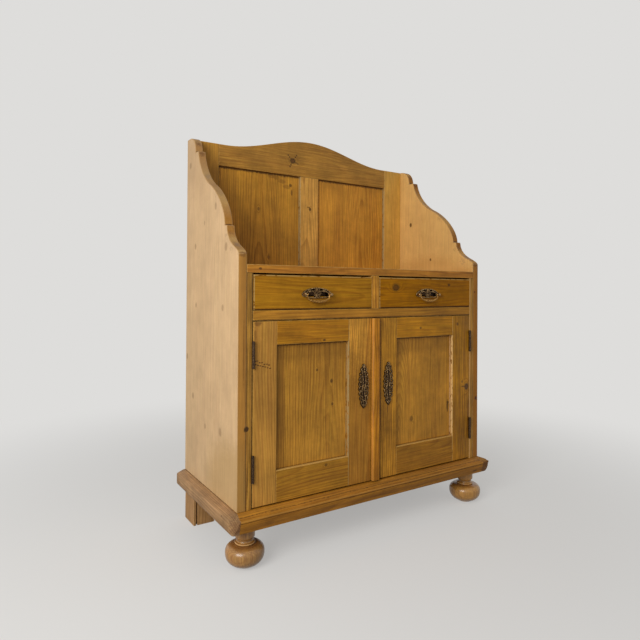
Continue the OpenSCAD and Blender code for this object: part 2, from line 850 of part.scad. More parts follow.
// Keyhole outline in X and Z: a round with a slot below it
module keyhole(x, grow = 0) {
    translate([x, key_z]) {
        circle(r = key_r + grow);
        translate([-key_slot_w / 2 - grow, -key_slot_l - grow])
            square([key_slot_w + 2 * grow, key_slot_l]);
    }
}

module left_door_hinge_stile() {
    color(front_pine) placed() difference() {
        door_stile(left_door_x0, left_panel_x0, 1);
        mirror([1, 0, 0]) leaf_waste();
    }
}

// Lock stile of the left door, with the mortise that takes the lock's bolt
module left_door_lock_stile() {
    color(front_pine) placed() difference() {
        door_stile(left_panel_x1, left_door_x1, -1);
        board([left_door_x1 - lock_throw, lock_bolt_y - 1, bolt_z - lock_bolt_h / 2 - 1],
            [left_door_x1 + cut, lock_bolt_y + lock_bolt_t + 1, bolt_z + lock_bolt_h / 2 + 1]);
    }
}

module left_door_top_rail() {
    color(front_pine) placed() door_rail(left_panel_x0, left_panel_x1, panel_z1, door_z1, -1);
}

module left_door_bottom_rail() {
    color(front_pine) placed() door_rail(left_panel_x0, left_panel_x1, door_z0, panel_z0, 1);
}

module left_door_panel() {
    color(front_pine) placed()
        panel(left_panel_x0, left_panel_x1, door_recess, door_panel_t, panel_z0, panel_z1);
}

module right_door_hinge_stile() {
    color(front_pine) placed() difference() {
        door_stile(right_panel_x1, right_door_x1, -1);
        leaf_waste();
    }
}

// Lock stile of the right door, let in for the lock and pierced by the keyhole
module right_door_lock_stile() {
    color(front_pine) placed() difference() {
        door_stile(right_door_x0, right_panel_x0, 1);
        lock_body(cut);
        front_profile(-cut, door_t + cut) keyhole(right_key_x, 1);
    }
}

module right_door_top_rail() {
    color(front_pine) placed() door_rail(right_panel_x0, right_panel_x1, panel_z1, door_z1, -1);
}

module right_door_bottom_rail() {
    color(front_pine) placed() door_rail(right_panel_x0, right_panel_x1, door_z0, panel_z0, 1);
}

module right_door_panel() {
    color(front_pine) placed()
        panel(right_panel_x0, right_panel_x1, door_recess, door_panel_t, panel_z0, panel_z1);
}

// Rounded bead on the right door's meeting edge
module meeting_bead() {
    color(bead_pine) placed() translate([0, 0, door_z0]) linear_extrude(door_z1 - door_z0)
        polygon(concat(
            [[bead_left, 0]],
            arc([bead_left + bead_round, -bead_t + bead_round], bead_round, 180, 270),
            arc([bead_right - bead_round, -bead_t + bead_round], bead_round, 270, 360),
            [[bead_right, 0]]));
}

lock_bolt_y = door_t - lock_t / 2 - lock_bolt_t / 2;
lock_plate_t = 2;
lock_plate_lip = 8; // edge plate past the case, above and below
lock_past_key = 16; // case past the keyhole's axis

// Cut-in lock: case let in to the back of the stile, and its plate on the edge
module lock_body(over = 0) {
    board([right_door_x0, door_t - lock_t, key_z - lock_h / 2],
        [right_key_x + lock_past_key, door_t + over, key_z + lock_h / 2]);
    board([right_door_x0 - over, door_t - lock_t - lock_plate_t, key_z - lock_h / 2 - lock_plate_lip],
        [right_door_x0 + lock_plate_t, door_t + over, key_z + lock_h / 2 + lock_plate_lip]);
}

module lock_case() {
    color(iron) placed() difference() {
        lock_body();
        board([right_door_x0 - cut, lock_bolt_y - bolt_fit, bolt_z - lock_bolt_h / 2 - bolt_fit],
            [right_door_x0 + 1 + lock_bolt_l, lock_bolt_y + lock_bolt_t + bolt_fit,
                bolt_z + lock_bolt_h / 2 + bolt_fit]);
        front_profile(-cut, door_t - lock_t / 4) keyhole(right_key_x);
    }
}

module lock_bolt() {
    color(iron) placed()
        board([right_door_x0 + 0.5, lock_bolt_y, bolt_z - lock_bolt_h / 2],
            [right_door_x0 + 0.5 + lock_bolt_l, lock_bolt_y + lock_bolt_t, bolt_z + lock_bolt_h / 2]);
}

slip_z1 = door_z1 - 1;
slip_z0 = slip_z1 - slip_bolt_l;
staple_h = slip_bolt_l / 12;
staple_z = [slip_z0 + staple_h, slip_z1 - 2.8 * staple_h];

// Plate on the back of the left door with the two staples that guide its bolt
module left_door_bolt_plate() {
    staple_w = 1.9 * slip_bolt_w;
    staple_t = 1.5 * slip_bolt_t;
    plate_half = 1.4 * slip_bolt_w;
    color(iron) placed() difference() {
        union() {
            board([slip_x - plate_half, door_t, slip_z0 + staple_h / 5],
                [slip_x + plate_half, slip_y, slip_z1 - staple_h * 0.6]);
            for (z = staple_z)
                board([slip_x - staple_w / 2, door_t, z],
                    [slip_x + staple_w / 2, slip_y + staple_t, z + staple_h]);
        }
        board([slip_x - slip_bolt_w / 2 - bolt_fit, slip_y, slip_z0 - cut],
            [slip_x + slip_bolt_w / 2 + bolt_fit, slip_y + slip_bolt_t + 2 * bolt_fit, slip_z1 + cut]);
    }
}

// Sliding bolt with its knob between the staples
module left_door_bolt() {
    knob_z = (slip_z0 + slip_z1) / 2 - slip_throw;
    color(iron) placed() {
        board([slip_x - slip_bolt_w / 2, slip_y + bolt_fit, slip_z0],
            [slip_x + slip_bolt_w / 2, slip_y + bolt_fit + slip_bolt_t, slip_z1]);
        translate([slip_x, slip_y + slip_bolt_t, knob_z]) rotate([-90, 0, 0]) {
            cylinder(r = 2.5, h = 7);
            translate([0, 0, 7]) sphere(r = 5);
        }
    }
}

// Half-width of the escutcheon's oval outline at a height above its middle
function escutcheon_half(z) = escutcheon_w / 2 * pow(1 - pow(2 * z / escutcheon_h, 2), 0.6);

// Escutcheon: an upright oval of pierced scrolls round a stem, with a knop above and a leaf below
module escutcheon(x) {
    rows = 4;
    pitch = escutcheon_h / 2 / (rows + 0.7);
    scroll_r = pitch * 0.56;
    front_profile(-plate_t, 0) difference() {
        translate([x, key_z]) {
            square([escutcheon_w * 0.3, escutcheon_h - 2 * pitch], center = true);
            translate([0, escutcheon_h / 2 - pitch * 0.45]) circle(r = pitch * 0.45);
            translate([0, -escutcheon_h / 2 + pitch * 0.6]) rotate([0, 0, 45])
                square(pitch * 0.85, center = true);
            for (up = [-1, 1]) translate([0, up * (rows + 0.1) * pitch]) circle(r = pitch * 0.45);
            for (up = [-1, 1]) for (side = [-1, 1]) for (i = [0.5 : rows])
                translate([side * (escutcheon_half(i * pitch) - scroll_r), up * i * pitch])
                    circle(r = scroll_r);
        }
        translate([x, key_z]) {
            for (up = [-1, 1]) for (side = [-1, 1]) for (i = [0.5 : rows - 1])
                translate([side * (escutcheon_half(i * pitch) - scroll_r * 0.85), up * i * pitch])
                    circle(r = scroll_r * 0.36);
            for (up = [-1, 1]) translate([0, up * (rows - 0.6) * pitch]) circle(r = scroll_r * 0.36);
        }
        keyhole(x);
    }
}

module left_door_escutcheon() {
    color(bronze) placed() escutcheon(left_key_x);
}

module right_door_escutcheon() {
    color(bronze) placed() escutcheon(right_key_x);
}

drawer_len = back_y - drawer_back_gap;
drawer_bot = drawer_z + runner_fit;
drawer_top = shelf_z - drawer_gap_top;
tail_pitch = (drawer_top - drawer_bot - 2 * drawer_gap_z) / 3;

// Row of dovetails on the end of a drawer side, in Y and Z
module tails(grow = 0) {
    y0 = drawer_front_t - tail_l;
    for (i = [0 : 2]) translate([0, drawer_bot + drawer_gap_z + (i + 0.5) * tail_pitch])
        polygon([[y0, -tail_pitch * 0.36], [drawer_front_t + grow, -tail_pitch * 0.26],
            [drawer_front_t + grow, tail_pitch * 0.26], [y0, tail_pitch * 0.36]]);
}

// Drawer front with sockets for the tails and a groove for the bottom
module drawer_front(x0, x1) {
    difference() {
        board([x0, 0, drawer_z + drawer_gap_z], [x1, drawer_front_t, drawer_top]);
        side_profile(x0 - cut, x0 + drawer_side_t) tails(cut);
        side_profile(x1 - drawer_side_t, x1 + cut) tails(cut);
        board([x0 + drawer_side_t - drawer_groove, drawer_front_t - drawer_groove, drawer_bot + drawer_bottom_up],
            [x1 - drawer_side_t + drawer_groove, drawer_front_t + cut,
                drawer_bot + drawer_bottom_up + drawer_bottom_t]);
    }
}

// Pair of drawer sides, tailed in front and grooved for the bottom
module drawer_sides(x0, x1) {
    for (x = [x0, x1 - drawer_side_t]) difference() {
        union() {
            board([x, drawer_front_t, drawer_bot], [x + drawer_side_t, drawer_len, drawer_top]);
            side_profile(x, x + drawer_side_t) tails(1);
        }
        board([x0 + drawer_side_t - drawer_groove, -cut, drawer_bot + drawer_bottom_up],
            [x1 - drawer_side_t + drawer_groove, drawer_len + cut,
                drawer_bot + drawer_bottom_up + drawer_bottom_t]);
    }
}

// Drawer back standing on the bottom, between the sides
module drawer_back(x0, x1) {
    board([x0 + drawer_side_t, drawer_len - 2 * drawer_side_t, drawer_bot + drawer_bottom_up + drawer_bottom_t],
        [x1 - drawer_side_t, drawer_len - drawer_side_t, drawer_top - 3]);
}

module drawer_bottom(x0, x1) {
    play = 0.5;
    board([x0 + drawer_side_t - drawer_groove + play, drawer_front_t - drawer_groove + play,
            drawer_bot + drawer_bottom_up],
        [x1 - drawer_side_t + drawer_groove - play, drawer_len - play,
            drawer_bot + drawer_bottom_up + drawer_bottom_t]);
}

left_drawer_x0 = -opening_half + drawer_gap;
left_drawer_x1 = bead_left - drawer_gap;
right_drawer_x0 = bead_right + drawer_gap;
right_drawer_x1 = opening_half - drawer_gap;

// Points of an oval, up high above its axis and down deep below it
function oval(half, up, down, n = 48) = [for (i = [0 : n - 1]) let (a = 360 * i / n)
    [half * cos(a), (a < 180 ? up : down) * sin(a)]];

// Pierced oval plate with a shell in its middle, and the two drilled posts
module pull_plate(x) {
    half = post_span / 2;
    rim_half = half + post_r;
    shell_r = plate_up * 0.62;
    shell_z = plate_up * 0.2;
    translate([x, 0, pull_z]) difference() {
        union() {
            front_profile(-plate_t, 0) {
                difference() {
                    polygon(oval(rim_half, plate_up, plate_down));
                    polygon(oval(rim_half - rim_w, plate_up - rim_w, plate_down - rim_w));
                }
                translate([0, shell_z]) circle(r = shell_r);
                for (a = [-60 : 30 : 240])
                    translate([shell_r * cos(a), shell_z + shell_r * sin(a)]) circle(r = shell_r * 0.25);
                for (side = [-1, 1]) {
                    translate([side * half, 0]) circle(r = post_r + 2);
                    translate([side * half * 0.55, arm_up]) circle(r = rim_w * 1.4);
                    translate([side * half * 0.5, arm_up]) square([half, rim_w], center = true);
                }
            }
            for (side = [-1, 1]) translate([side * half, 0, 0]) rotate([90, 0, 0])
                cylinder(r = post_r, h = bail_out + bail_pin_r + 1.6);
        }
        translate([-half - 2 * post_r, -bail_out, 0]) rotate([0, 90, 0])
            cylinder(r = bail_pin_r + pin_fit, h = post_span + 4 * post_r);
    }
}

// Swinging bail: a bowed rod with a pin at each end, turned out into the posts
module bail(x) {
    ball_r = 1.2 * bail_r;
    half = post_span / 2 - post_r - ball_r - bail_side_gap;
    bow_r = (half * half + bail_drop * bail_drop) / (2 * bail_drop);
    spread = asin(half / bow_r);
    translate([x, -bail_out, pull_z]) {
        translate([0, 0, bow_r - bail_drop]) rotate([90, 0, 0]) rotate([0, 0, -90 - spread])
            rotate_extrude(angle = 2 * spread) translate([bow_r, 0]) circle(r = bail_r);
        for (side = [-1, 1]) translate([side * half, 0, 0]) {
            sphere(r = ball_r);
            rotate([0, 90 * side, 0]) cylinder(r = bail_pin_r, h = ball_r + bail_side_gap + 1.6 * post_r);
        }
    }
}

module left_drawer_front() {
    color(drawer_pine) placed() drawer_front(left_drawer_x0, left_drawer_x1);
}

module left_drawer_sides() {
    color(shadow_pine) placed() drawer_sides(left_drawer_x0, left_drawer_x1);
}

module left_drawer_back() {
    color(shadow_pine) placed() drawer_back(left_drawer_x0, left_drawer_x1);
}

module left_drawer_bottom() {
    color(shadow_pine) placed() drawer_bottom(left_drawer_x0, left_drawer_x1);
}

module left_drawer_pull() {
    color(bronze) placed() pull_plate((left_drawer_x0 + left_drawer_x1) / 2);
}

module left_drawer_bail() {
    color(bail_brass) placed() bail((left_drawer_x0 + left_drawer_x1) / 2);
}

module right_drawer_front() {
    color(drawer_pine) placed() drawer_front(right_drawer_x0, right_drawer_x1);
}

module right_drawer_sides() {
    color(shadow_pine) placed() drawer_sides(right_drawer_x0, right_drawer_x1);
}

module right_drawer_back() {
    color(shadow_pine) placed() drawer_back(right_drawer_x0, right_drawer_x1);
}

module right_drawer_bottom() {
    color(shadow_pine) placed() drawer_bottom(right_drawer_x0, right_drawer_x1);
}

module right_drawer_pull() {
    color(bronze) placed() pull_plate((right_drawer_x0 + right_drawer_x1) / 2);
}

module right_drawer_bail() {
    color(bail_brass) placed() bail((right_drawer_x0 + right_drawer_x1) / 2);
}

side_left();
side_right();
display_shelf();
cupboard_floor();
inner_shelf();
face_strip_left();
face_strip_right();
drawer_rail();
drawer_divider();
drawer_runners();
lower_back_boards();
back_stile_left();
back_stile_right();
back_crest_rail();
back_muntin();
back_bottom_rail();
back_panel_left();
back_panel_right();
base_front();
base_left();
base_right();
base_side_rails();
base_rear_rail();
bun_foot_left();
bun_foot_right();
rear_foot_left();
rear_foot_right();
hinge_frame_leaves();
hinge_pins();
left_door_hinge_stile();
left_door_lock_stile();
left_door_top_rail();
left_door_bottom_rail();
left_door_panel();
left_door_escutcheon();
left_door_hinge_leaves();
left_door_bolt_plate();
left_door_bolt();
right_door_hinge_stile();
right_door_lock_stile();
right_door_top_rail();
right_door_bottom_rail();
right_door_panel();
right_door_escutcheon();
right_door_hinge_leaves();
meeting_bead();
lock_case();
lock_bolt();
left_drawer_front();
left_drawer_sides();
left_drawer_back();
left_drawer_bottom();
left_drawer_pull();
left_drawer_bail();
right_drawer_front();
right_drawer_sides();
right_drawer_back();
right_drawer_bottom();
right_drawer_pull();
right_drawer_bail();
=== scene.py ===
# Pine cupboard with an open shelf above two drawers and two panelled doors.
# Metres; +X is the right-hand side seen from the front, +Y the back, +Z up.
import math

import bmesh
import bpy
from mathutils import Matrix, Vector
from mathutils.bvhtree import BVHTree
from mathutils.geometry import interpolate_bezier


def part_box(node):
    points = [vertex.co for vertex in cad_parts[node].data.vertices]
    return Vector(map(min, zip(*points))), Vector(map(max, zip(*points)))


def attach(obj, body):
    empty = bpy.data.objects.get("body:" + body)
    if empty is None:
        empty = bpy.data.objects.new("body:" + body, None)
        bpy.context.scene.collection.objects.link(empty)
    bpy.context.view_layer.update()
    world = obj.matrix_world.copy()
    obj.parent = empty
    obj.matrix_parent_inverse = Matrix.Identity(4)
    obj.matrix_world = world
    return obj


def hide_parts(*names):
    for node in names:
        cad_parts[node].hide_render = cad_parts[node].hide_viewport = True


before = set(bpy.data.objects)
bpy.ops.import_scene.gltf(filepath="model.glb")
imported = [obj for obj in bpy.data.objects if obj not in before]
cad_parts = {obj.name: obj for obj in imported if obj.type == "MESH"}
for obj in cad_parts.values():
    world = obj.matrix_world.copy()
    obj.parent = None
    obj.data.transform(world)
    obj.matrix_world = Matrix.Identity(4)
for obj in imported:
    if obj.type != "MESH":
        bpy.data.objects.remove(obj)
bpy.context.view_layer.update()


# Camera
# It stands where the photograph was taken from, to the left of the cupboard and at its shelf's height.
# The place, turn and lens come from the straight edges of the boards in the picture.
frame_px = 640
lens_px = 534.6
axis_row = 286.0
camera_place = (-1.1494, -1.6489, 0.8216)
yaw, pitch, roll = (math.radians(angle) for angle in (32.69, 0.48, 0.34))
ahead = Vector((math.sin(yaw) * math.cos(pitch), math.cos(yaw) * math.cos(pitch), math.sin(pitch)))
level = Vector((math.cos(yaw), -math.sin(yaw), 0))
upward = level.cross(ahead)


def placed(name, data):
    """A new object in the scene."""
    made = bpy.data.objects.new(name, data)
    bpy.context.scene.collection.objects.link(made)
    return made


camera = placed("camera", bpy.data.cameras.new("camera"))
camera.data.sensor_width = 36
camera.data.lens = lens_px / frame_px * camera.data.sensor_width
camera.data.shift_y = (axis_row - frame_px / 2) / frame_px
camera.matrix_world = Matrix.Translation(camera_place) @ Matrix((
    level * math.cos(roll) + upward * math.sin(roll),
    upward * math.cos(roll) - level * math.sin(roll),
    -ahead)).transposed().to_4x4()
bpy.context.scene.camera = camera


# Side boards
# One wide board of pale pine on each side, from the base to the top of the gallery, sawn to its scroll.
# It was planed by hand and waxed; light has bleached its outside, and handling has rounded its edges.
mm = 0.001


def linear(colour):
    """The linear colour of an sRGB hex value."""
    parts = [int(colour[i:i + 2], 16) / 255 for i in (1, 3, 5)]
    return [c / 12.92 if c <= 0.04045 else ((c + 0.055) / 1.055) ** 2.4 for c in parts] + [1.0]


def blank(name):
    """A new material and its empty node tree."""
    material = bpy.data.materials.new(name)
    material.use_nodes = True
    material.node_tree.nodes.clear()
    return material, material.node_tree


def add(tree, kind, inputs=None, **settings):
    """Adds a node with its settings, and links or fills its sockets. A node that is given for a socket
    stands for its first output, and text for a colour's hex value."""
    made = tree.nodes.new(kind)
    for key, value in settings.items():
        setattr(made, key, value)
    for key, value in (inputs or {}).items():
        if isinstance(key, str):
            target = next(s for s in made.inputs if s.enabled and s.name == key)
        else:
            target = made.inputs[key]
        if isinstance(value, bpy.types.Node):
            value = next(s for s in value.outputs if s.enabled)
        if isinstance(value, bpy.types.NodeSocket):
            tree.links.new(value, target)
        else:
            target.default_value = linear(value) if isinstance(value, str) else value
    return made


def maths(tree, operation, *values, **settings):
    """One step of arithmetic on numbers, in a node."""
    return add(tree, "ShaderNodeMath", dict(enumerate(values)), operation=operation, **settings)


def vectors(tree, operation, *values):
    """One step of arithmetic on vectors, in a node. A length or a dot product comes out as a number."""
    made = add(tree, "ShaderNodeVectorMath", dict(enumerate(values)), operation=operation)
    return made.outputs["Value" if operation in ("LENGTH", "DOT_PRODUCT") else "Vector"]


def mapped(tree, value, span, low=0.0, high=1.0, **settings):
    """A number mapped from a span to the one from low to high."""
    return add(tree, "ShaderNodeMapRange", {"Value": value, "From Min": span[0], "From Max": span[1],
                                            "To Min": low, "To Max": high}, **settings)


def mixed(tree, factor, first, second, blend="MIX"):
    """Two colours mixed."""
    return add(tree, "ShaderNodeMix", {"Factor": factor, "A": first, "B": second}, data_type="RGBA",
               blend_type=blend)


def noise(tree, place, scale, detail, roughness=0.5):
    """Noise whose scale counts its cells in a metre. Nearly all its values lie in noise_span."""
    return add(tree, "ShaderNodeTexNoise", {"Vector": place, "Scale": scale, "Detail": detail,
                                            "Roughness": roughness})


noise_span = (0.3, 0.7)


def ramp(tree, value, *points):
    """A colour ramp with these stops: a place, then a grey value or a hex value."""
    made = add(tree, "ShaderNodeValToRGB", {0: value})
    elements = made.color_ramp.elements
    while len(elements) < len(points):
        elements.new(1.0)
    for element, (place, colour) in zip(elements, points):
        element.position = place
        element.color = linear(colour) if isinstance(colour, str) else [colour] * 3 + [1.0]
    return made


def pine(name, axes, middle, early, late, ring=6.0, pith=(15, 60), tilt=0.02, wave=2.5, knots=(),
         marks=(), strips=(), tints=(), worn="#CFA050", dirt="#2E1A08", shine=0.5, gloss=0.3,
         coat=0.0, contrast=0.8, seed=0.0):
    """Planed pine under old wax, which gives it a soft, low sheen over streaky brown and yellow grain.
    axes tells which of x, y and z run along, across and through the board. In mm: ring is the space
    between rings, pith the heart's place across and through from the board's middle, wave how far the
    grain wanders. A knot is (place, radius, strength), a mark is (place, reach, colour, amount), a strip
    is (place, reach, colour) of bare wood with chips, and a tint is (direction, colour, amount) for the
    faces turned that way. worn and dirt are the colours of free edges and of edges in joints."""
    material, tree = blank(name)
    order = ["xyz".index(axis) for axis in axes]
    coordinates = add(tree, "ShaderNodeTexCoord")
    place = coordinates.outputs["Object"]
    parts = add(tree, "ShaderNodeSeparateXYZ", {0: place})
    grain = add(tree, "ShaderNodeCombineXYZ", {i: parts.outputs[axis] for i, axis in enumerate(order)})

    # The heart wanders as the tree grew, so the rings show as flames and wavy lines, which change over
    # 330 mm along the board and over 100 mm across it
    drift = add(tree, "ShaderNodeMapping", {"Vector": grain, "Location": (seed, seed * 2.3, seed * 3.1),
                                            "Scale": (3.0, 10.0, 10.0)})
    wander = noise(tree, drift, 1.0, 3.0, 0.55)
    sway = vectors(tree, "MULTIPLY_ADD", wander.outputs["Color"], (0, 4 * wave * mm, 4 * wave * mm),
                   (0, -2 * wave * mm, -2 * wave * mm))
    heart = [middle[order[0]], middle[order[1]] + pith[0] * mm, middle[order[2]] + pith[1] * mm]
    from_heart = vectors(tree, "SUBTRACT", grain, heart)
    leaning = add(tree, "ShaderNodeMapping", {"Vector": from_heart, "Rotation": (0, tilt, 0)})
    swayed = vectors(tree, "ADD", leaning, sway)
    flat = vectors(tree, "MULTIPLY", swayed, (0, 1, 1))
    radius = vectors(tree, "LENGTH", flat)

    # Each knot pushes the rings aside, and lies in them as a dark round plug with a ragged rim
    ragged = noise(tree, grain, 140.0, 2.0)
    plugs = []
    for spot, size, strength in knots:
        size *= mm
        along, across = (spot[axis] * mm for axis in order[:2])
        reach = (1 / (3.6 * size), 1 / (2.0 * size), 0)
        near = vectors(tree, "MULTIPLY_ADD", grain, reach, (-along * reach[0], -across * reach[1], 0))
        away = vectors(tree, "LENGTH", near)
        hill = mapped(tree, away, (0.0, 1.0), 1.5 * size, 0.0, interpolation_type="SMOOTHSTEP")
        radius = maths(tree, "ADD", radius, hill)
        centred = vectors(tree, "MULTIPLY_ADD", grain, (0.8 / size, 1 / size, 0),
                          (-along * 0.8 / size, -across / size, 0))
        distance = vectors(tree, "LENGTH", centred)
        plugs.append((maths(tree, "MULTIPLY_ADD", ragged, 0.5, distance), strength))

    # Wide years and narrow years; each ring darkens slowly and ends sharply
    years = noise(tree, drift, 0.7, 1.0)
    spread = maths(tree, "MULTIPLY", years, 5.0)
    count = maths(tree, "MULTIPLY_ADD", radius, 1 / (ring * mm), spread)
    phase = maths(tree, "FRACT", count)
    ringed = ramp(tree, phase, (0.0, 0.15), (0.35, 0.08), (0.82, 0.8), (0.92, 1.0), (1.0, 0.15))
    fade = mapped(tree, years, (0.35, 0.65), 0.4 * contrast, 0.85 * contrast)
    lateness = maths(tree, "MULTIPLY", ringed, fade)
    colour = mixed(tree, lateness, early, late)

    # Fibres 110 mm long and 2.4 mm wide, which is coarser than real ones, or they wouldn't show; bands
    # 8 mm wide, and clouds as wide as a hand
    fine = add(tree, "ShaderNodeMapping", {"Vector": grain, "Location": (seed, 0, 0),
                                           "Scale": (9.0, 420.0, 420.0)})
    fibres = noise(tree, fine, 1.0, 5.0, 0.65)
    shade = mapped(tree, fibres, noise_span, 1 - 0.42 * contrast, 1 + 0.35 * contrast)
    wide = add(tree, "ShaderNodeMapping", {"Vector": grain, "Location": (0, seed, 0),
                                           "Scale": (3.0, 130.0, 130.0)})
    bands = noise(tree, wide, 1.0, 3.0)
    banded = mapped(tree, bands, noise_span, 1 - 0.15 * contrast, 1 + 0.12 * contrast)
    cloud = noise(tree, grain, 8.0 + seed % 1, 6.0, 0.68)
    depth = mapped(tree, cloud, noise_span, 1 + 0.34 * contrast, 1 - 0.34 * contrast)
    hue = mapped(tree, bands, noise_span, 0.496, 0.503)
    value = maths(tree, "MULTIPLY", shade, banded)
    value = maths(tree, "MULTIPLY", value, depth)
    colour = add(tree, "ShaderNodeHueSaturation", {"Hue": hue, "Value": value, "Color": colour})

    # End grain drinks more finish and is darker; tints colour the faces turned one way
    normal = coordinates.outputs["Normal"]
    ends = [1.0 if i == order[0] else 0.0 for i in range(3)]
    square_on = (0.75, 0.95)
    facing = vectors(tree, "DOT_PRODUCT", normal, ends)
    turned = maths(tree, "ABSOLUTE", facing)
    endgrain = mapped(tree, turned, square_on, 0.0, 0.6)
    colour = mixed(tree, endgrain, colour, "#A9825A", "MULTIPLY")
    for direction, tint, amount in tints:
        facing = vectors(tree, "DOT_PRODUCT", normal, direction)
        amount = mapped(tree, facing, square_on, 0.0, amount)
        colour = mixed(tree, amount, colour, tint, "MULTIPLY")

    # Stains, chips and bare strips where they lie. Chips are up to 17 mm long and 6 mm wide, and the
    # rubbed places on the edges come every 17 mm
    torn = maths(tree, "MULTIPLY_ADD", ragged, 0.9, -0.45)
    broken = noise(tree, place, 60.0, 4.0, 0.65)
    chips = add(tree, "ShaderNodeMapping", {"Vector": grain, "Scale": (60.0, 180.0, 180.0)})
    flaked = noise(tree, chips, 1.0, 3.0)
    spots = [(*mark, False) for mark in marks] + [(*strip, 0.9, True) for strip in strips]
    for spot, reach, tint, amount, chipped in spots:
        scale = [1 / (r * mm) for r in reach]
        offset = [-s * mm * k for s, k in zip(spot, scale)]
        near = vectors(tree, "MULTIPLY_ADD", place, scale, offset)
        away = vectors(tree, "LENGTH", near)
        if chipped:
            tint = ramp(tree, flaked, (0.29, dirt), (0.36, late), (0.44, tint), (1.0, tint))
        else:
            away = maths(tree, "MULTIPLY_ADD", torn, min(1, 15 / min(reach)), away)
        amount = mapped(tree, away, (0.6, 1.0), amount, 0.0)
        colour = mixed(tree, amount, colour, tint)
    for plug, strength in plugs:
        rim = ramp(tree, plug, (0.0, "#3E240A"), (0.3, "#6E4618"), (0.5, "#4E2E0E"), (0.7, "#6E4618"),
                   (0.88, "#281406"), (1.0, "#5C4014"))
        inside = mapped(tree, plug, (1.0, 1.5), strength, 0.0)
        colour = mixed(tree, inside, colour, rim)

    # Free edges are rubbed pale in places, and the edges in joints hold dirt
    edge = add(tree, "ShaderNodeAttribute", attribute_name="edge").outputs["Fac"]
    rubbed = mapped(tree, broken, (0.4, 0.6), 0.15, 0.8)
    rubbed = maths(tree, "MULTIPLY", edge, rubbed, use_clamp=True)
    colour = mixed(tree, rubbed, colour, worn)
    dirty = maths(tree, "MULTIPLY", edge, -0.85, use_clamp=True)
    colour = mixed(tree, dirty, colour, dirt)

    # The plane has left the late wood a little proud, and the fibres can be felt
    height = maths(tree, "MULTIPLY_ADD", lateness, 0.5, fibres)
    bump = add(tree, "ShaderNodeBump", {"Height": height, "Strength": 0.5, "Distance": 0.4 * mm})
    sheen = mapped(tree, fibres, noise_span, shine + 0.1, shine - 0.06)
    surface = add(tree, "ShaderNodeBsdfPrincipled", {
        "Base Color": colour, "Roughness": sheen, "IOR": 1.45, "Specular IOR Level": gloss,
        "Coat Weight": coat, "Coat Roughness": 0.16, "Normal": bump})
    add(tree, "ShaderNodeOutputMaterial", {"Surface": surface})
    return material


# All CAD solids together, to find which edges of a piece meet a neighbour
corners, facets, owners = [], [], []
for name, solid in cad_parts.items():
    facets += [[v + len(corners) for v in face.vertices] for face in solid.data.polygons]
    corners += [v.co.copy() for v in solid.data.vertices]
    owners += [name] * len(solid.data.polygons)
neighbours = BVHTree.FromPolygons(corners, facets)


def finished(name, mesh):
    """The data of a mesh that was being edited."""
    data = bpy.data.meshes.new(name)
    mesh.to_mesh(data)
    mesh.free()
    return data


def eased(node, arris, sharp_angle=30):
    """Copy of a CAD node with its sharp edges rounded over, standing in the node's place.
    The face attribute edge is 1 on a free rounded edge and -1 on one that closes a joint."""
    mesh = bmesh.new()
    mesh.from_mesh(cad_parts[node].data)
    edge = mesh.faces.layers.float.new("edge")
    bmesh.ops.remove_doubles(mesh, verts=mesh.verts, dist=0.002 * mm)
    bmesh.ops.dissolve_limit(mesh, angle_limit=math.radians(0.4), verts=mesh.verts, edges=mesh.edges)
    sharp = [e for e in mesh.edges
             if len(e.link_faces) == 2 and e.calc_face_angle() > math.radians(sharp_angle)]
    rounded = bmesh.ops.bevel(mesh, geom=sharp, offset=arris * mm, segments=2, profile=0.5,
                              affect="EDGES", clamp_overlap=True)
    for face in rounded["faces"]:
        touching = neighbours.find_nearest_range(face.calc_center_median(), 0.6 * arris * mm)
        face[edge] = -1.0 if any(owners[index] != node for _, _, index, _ in touching) else 1.0
    data = finished(node + "_wood", mesh)
    data.shade_smooth()
    data.set_sharp_from_angle(angle=math.radians(24))
    return placed(node + "_wood", data)


def wooden(node, body, slot, axes, early, late, arris=1.2, **look):
    """A CAD node as a piece of pine with eased edges, riding on its body."""
    piece = eased(node, arris)
    low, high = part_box(node)
    piece.data.materials.append(pine(node + "_pine", axes, (low + high) / 2, early, late, **look))
    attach(piece, body)
    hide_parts(node)
    return piece


# Faces of the side boards and the plane of the front, in mm. A mark that reaches whole runs the length of
# any board, and one that reaches through goes right into the wood.
outer_x, inner_x, edge_x, front_y = 510, 483, 496, -214
whole, through = 9000, 40
side_look = dict(arris=2.0, ring=6, wave=4, contrast=0.34, worn="#B08A58", dirt="#4A3018")
scroll_tint = ((0, -0.6, 0.8), "#E4D6AC", 1.0)


def scroll_stains(x):
    """Brown and grey stains on the sawn edge of the board at x, and dark lines in the corners of its
    ledges, which are dirt and painted shadow.
    """
    stains = ((152, 1345, 26, "#5E3A1E", 0.6), (122, 1296, 16, "#5E3A1E", 0.6),
              (60, 1218, 30, "#8A7258", 0.6), (-30, 1130, 26, "#8A6A44", 0.4),
              (-118, 990, 16, "#5E3A1E", 0.5), (-160, 944, 26, "#7A6450", 0.6),
              # The two darkest, at the ledges, are dirt and painted shadow.
              (-210, 926, 10, "#5E3A1E", 0.5), (-107, 1022, 4.5, "#3A2410", 0.8),
              (159, 1304, 4.5, "#3A2410", 0.8))
    return [((x, y, z), (16, reach, reach), colour, amount) for y, z, reach, colour, amount in stains]


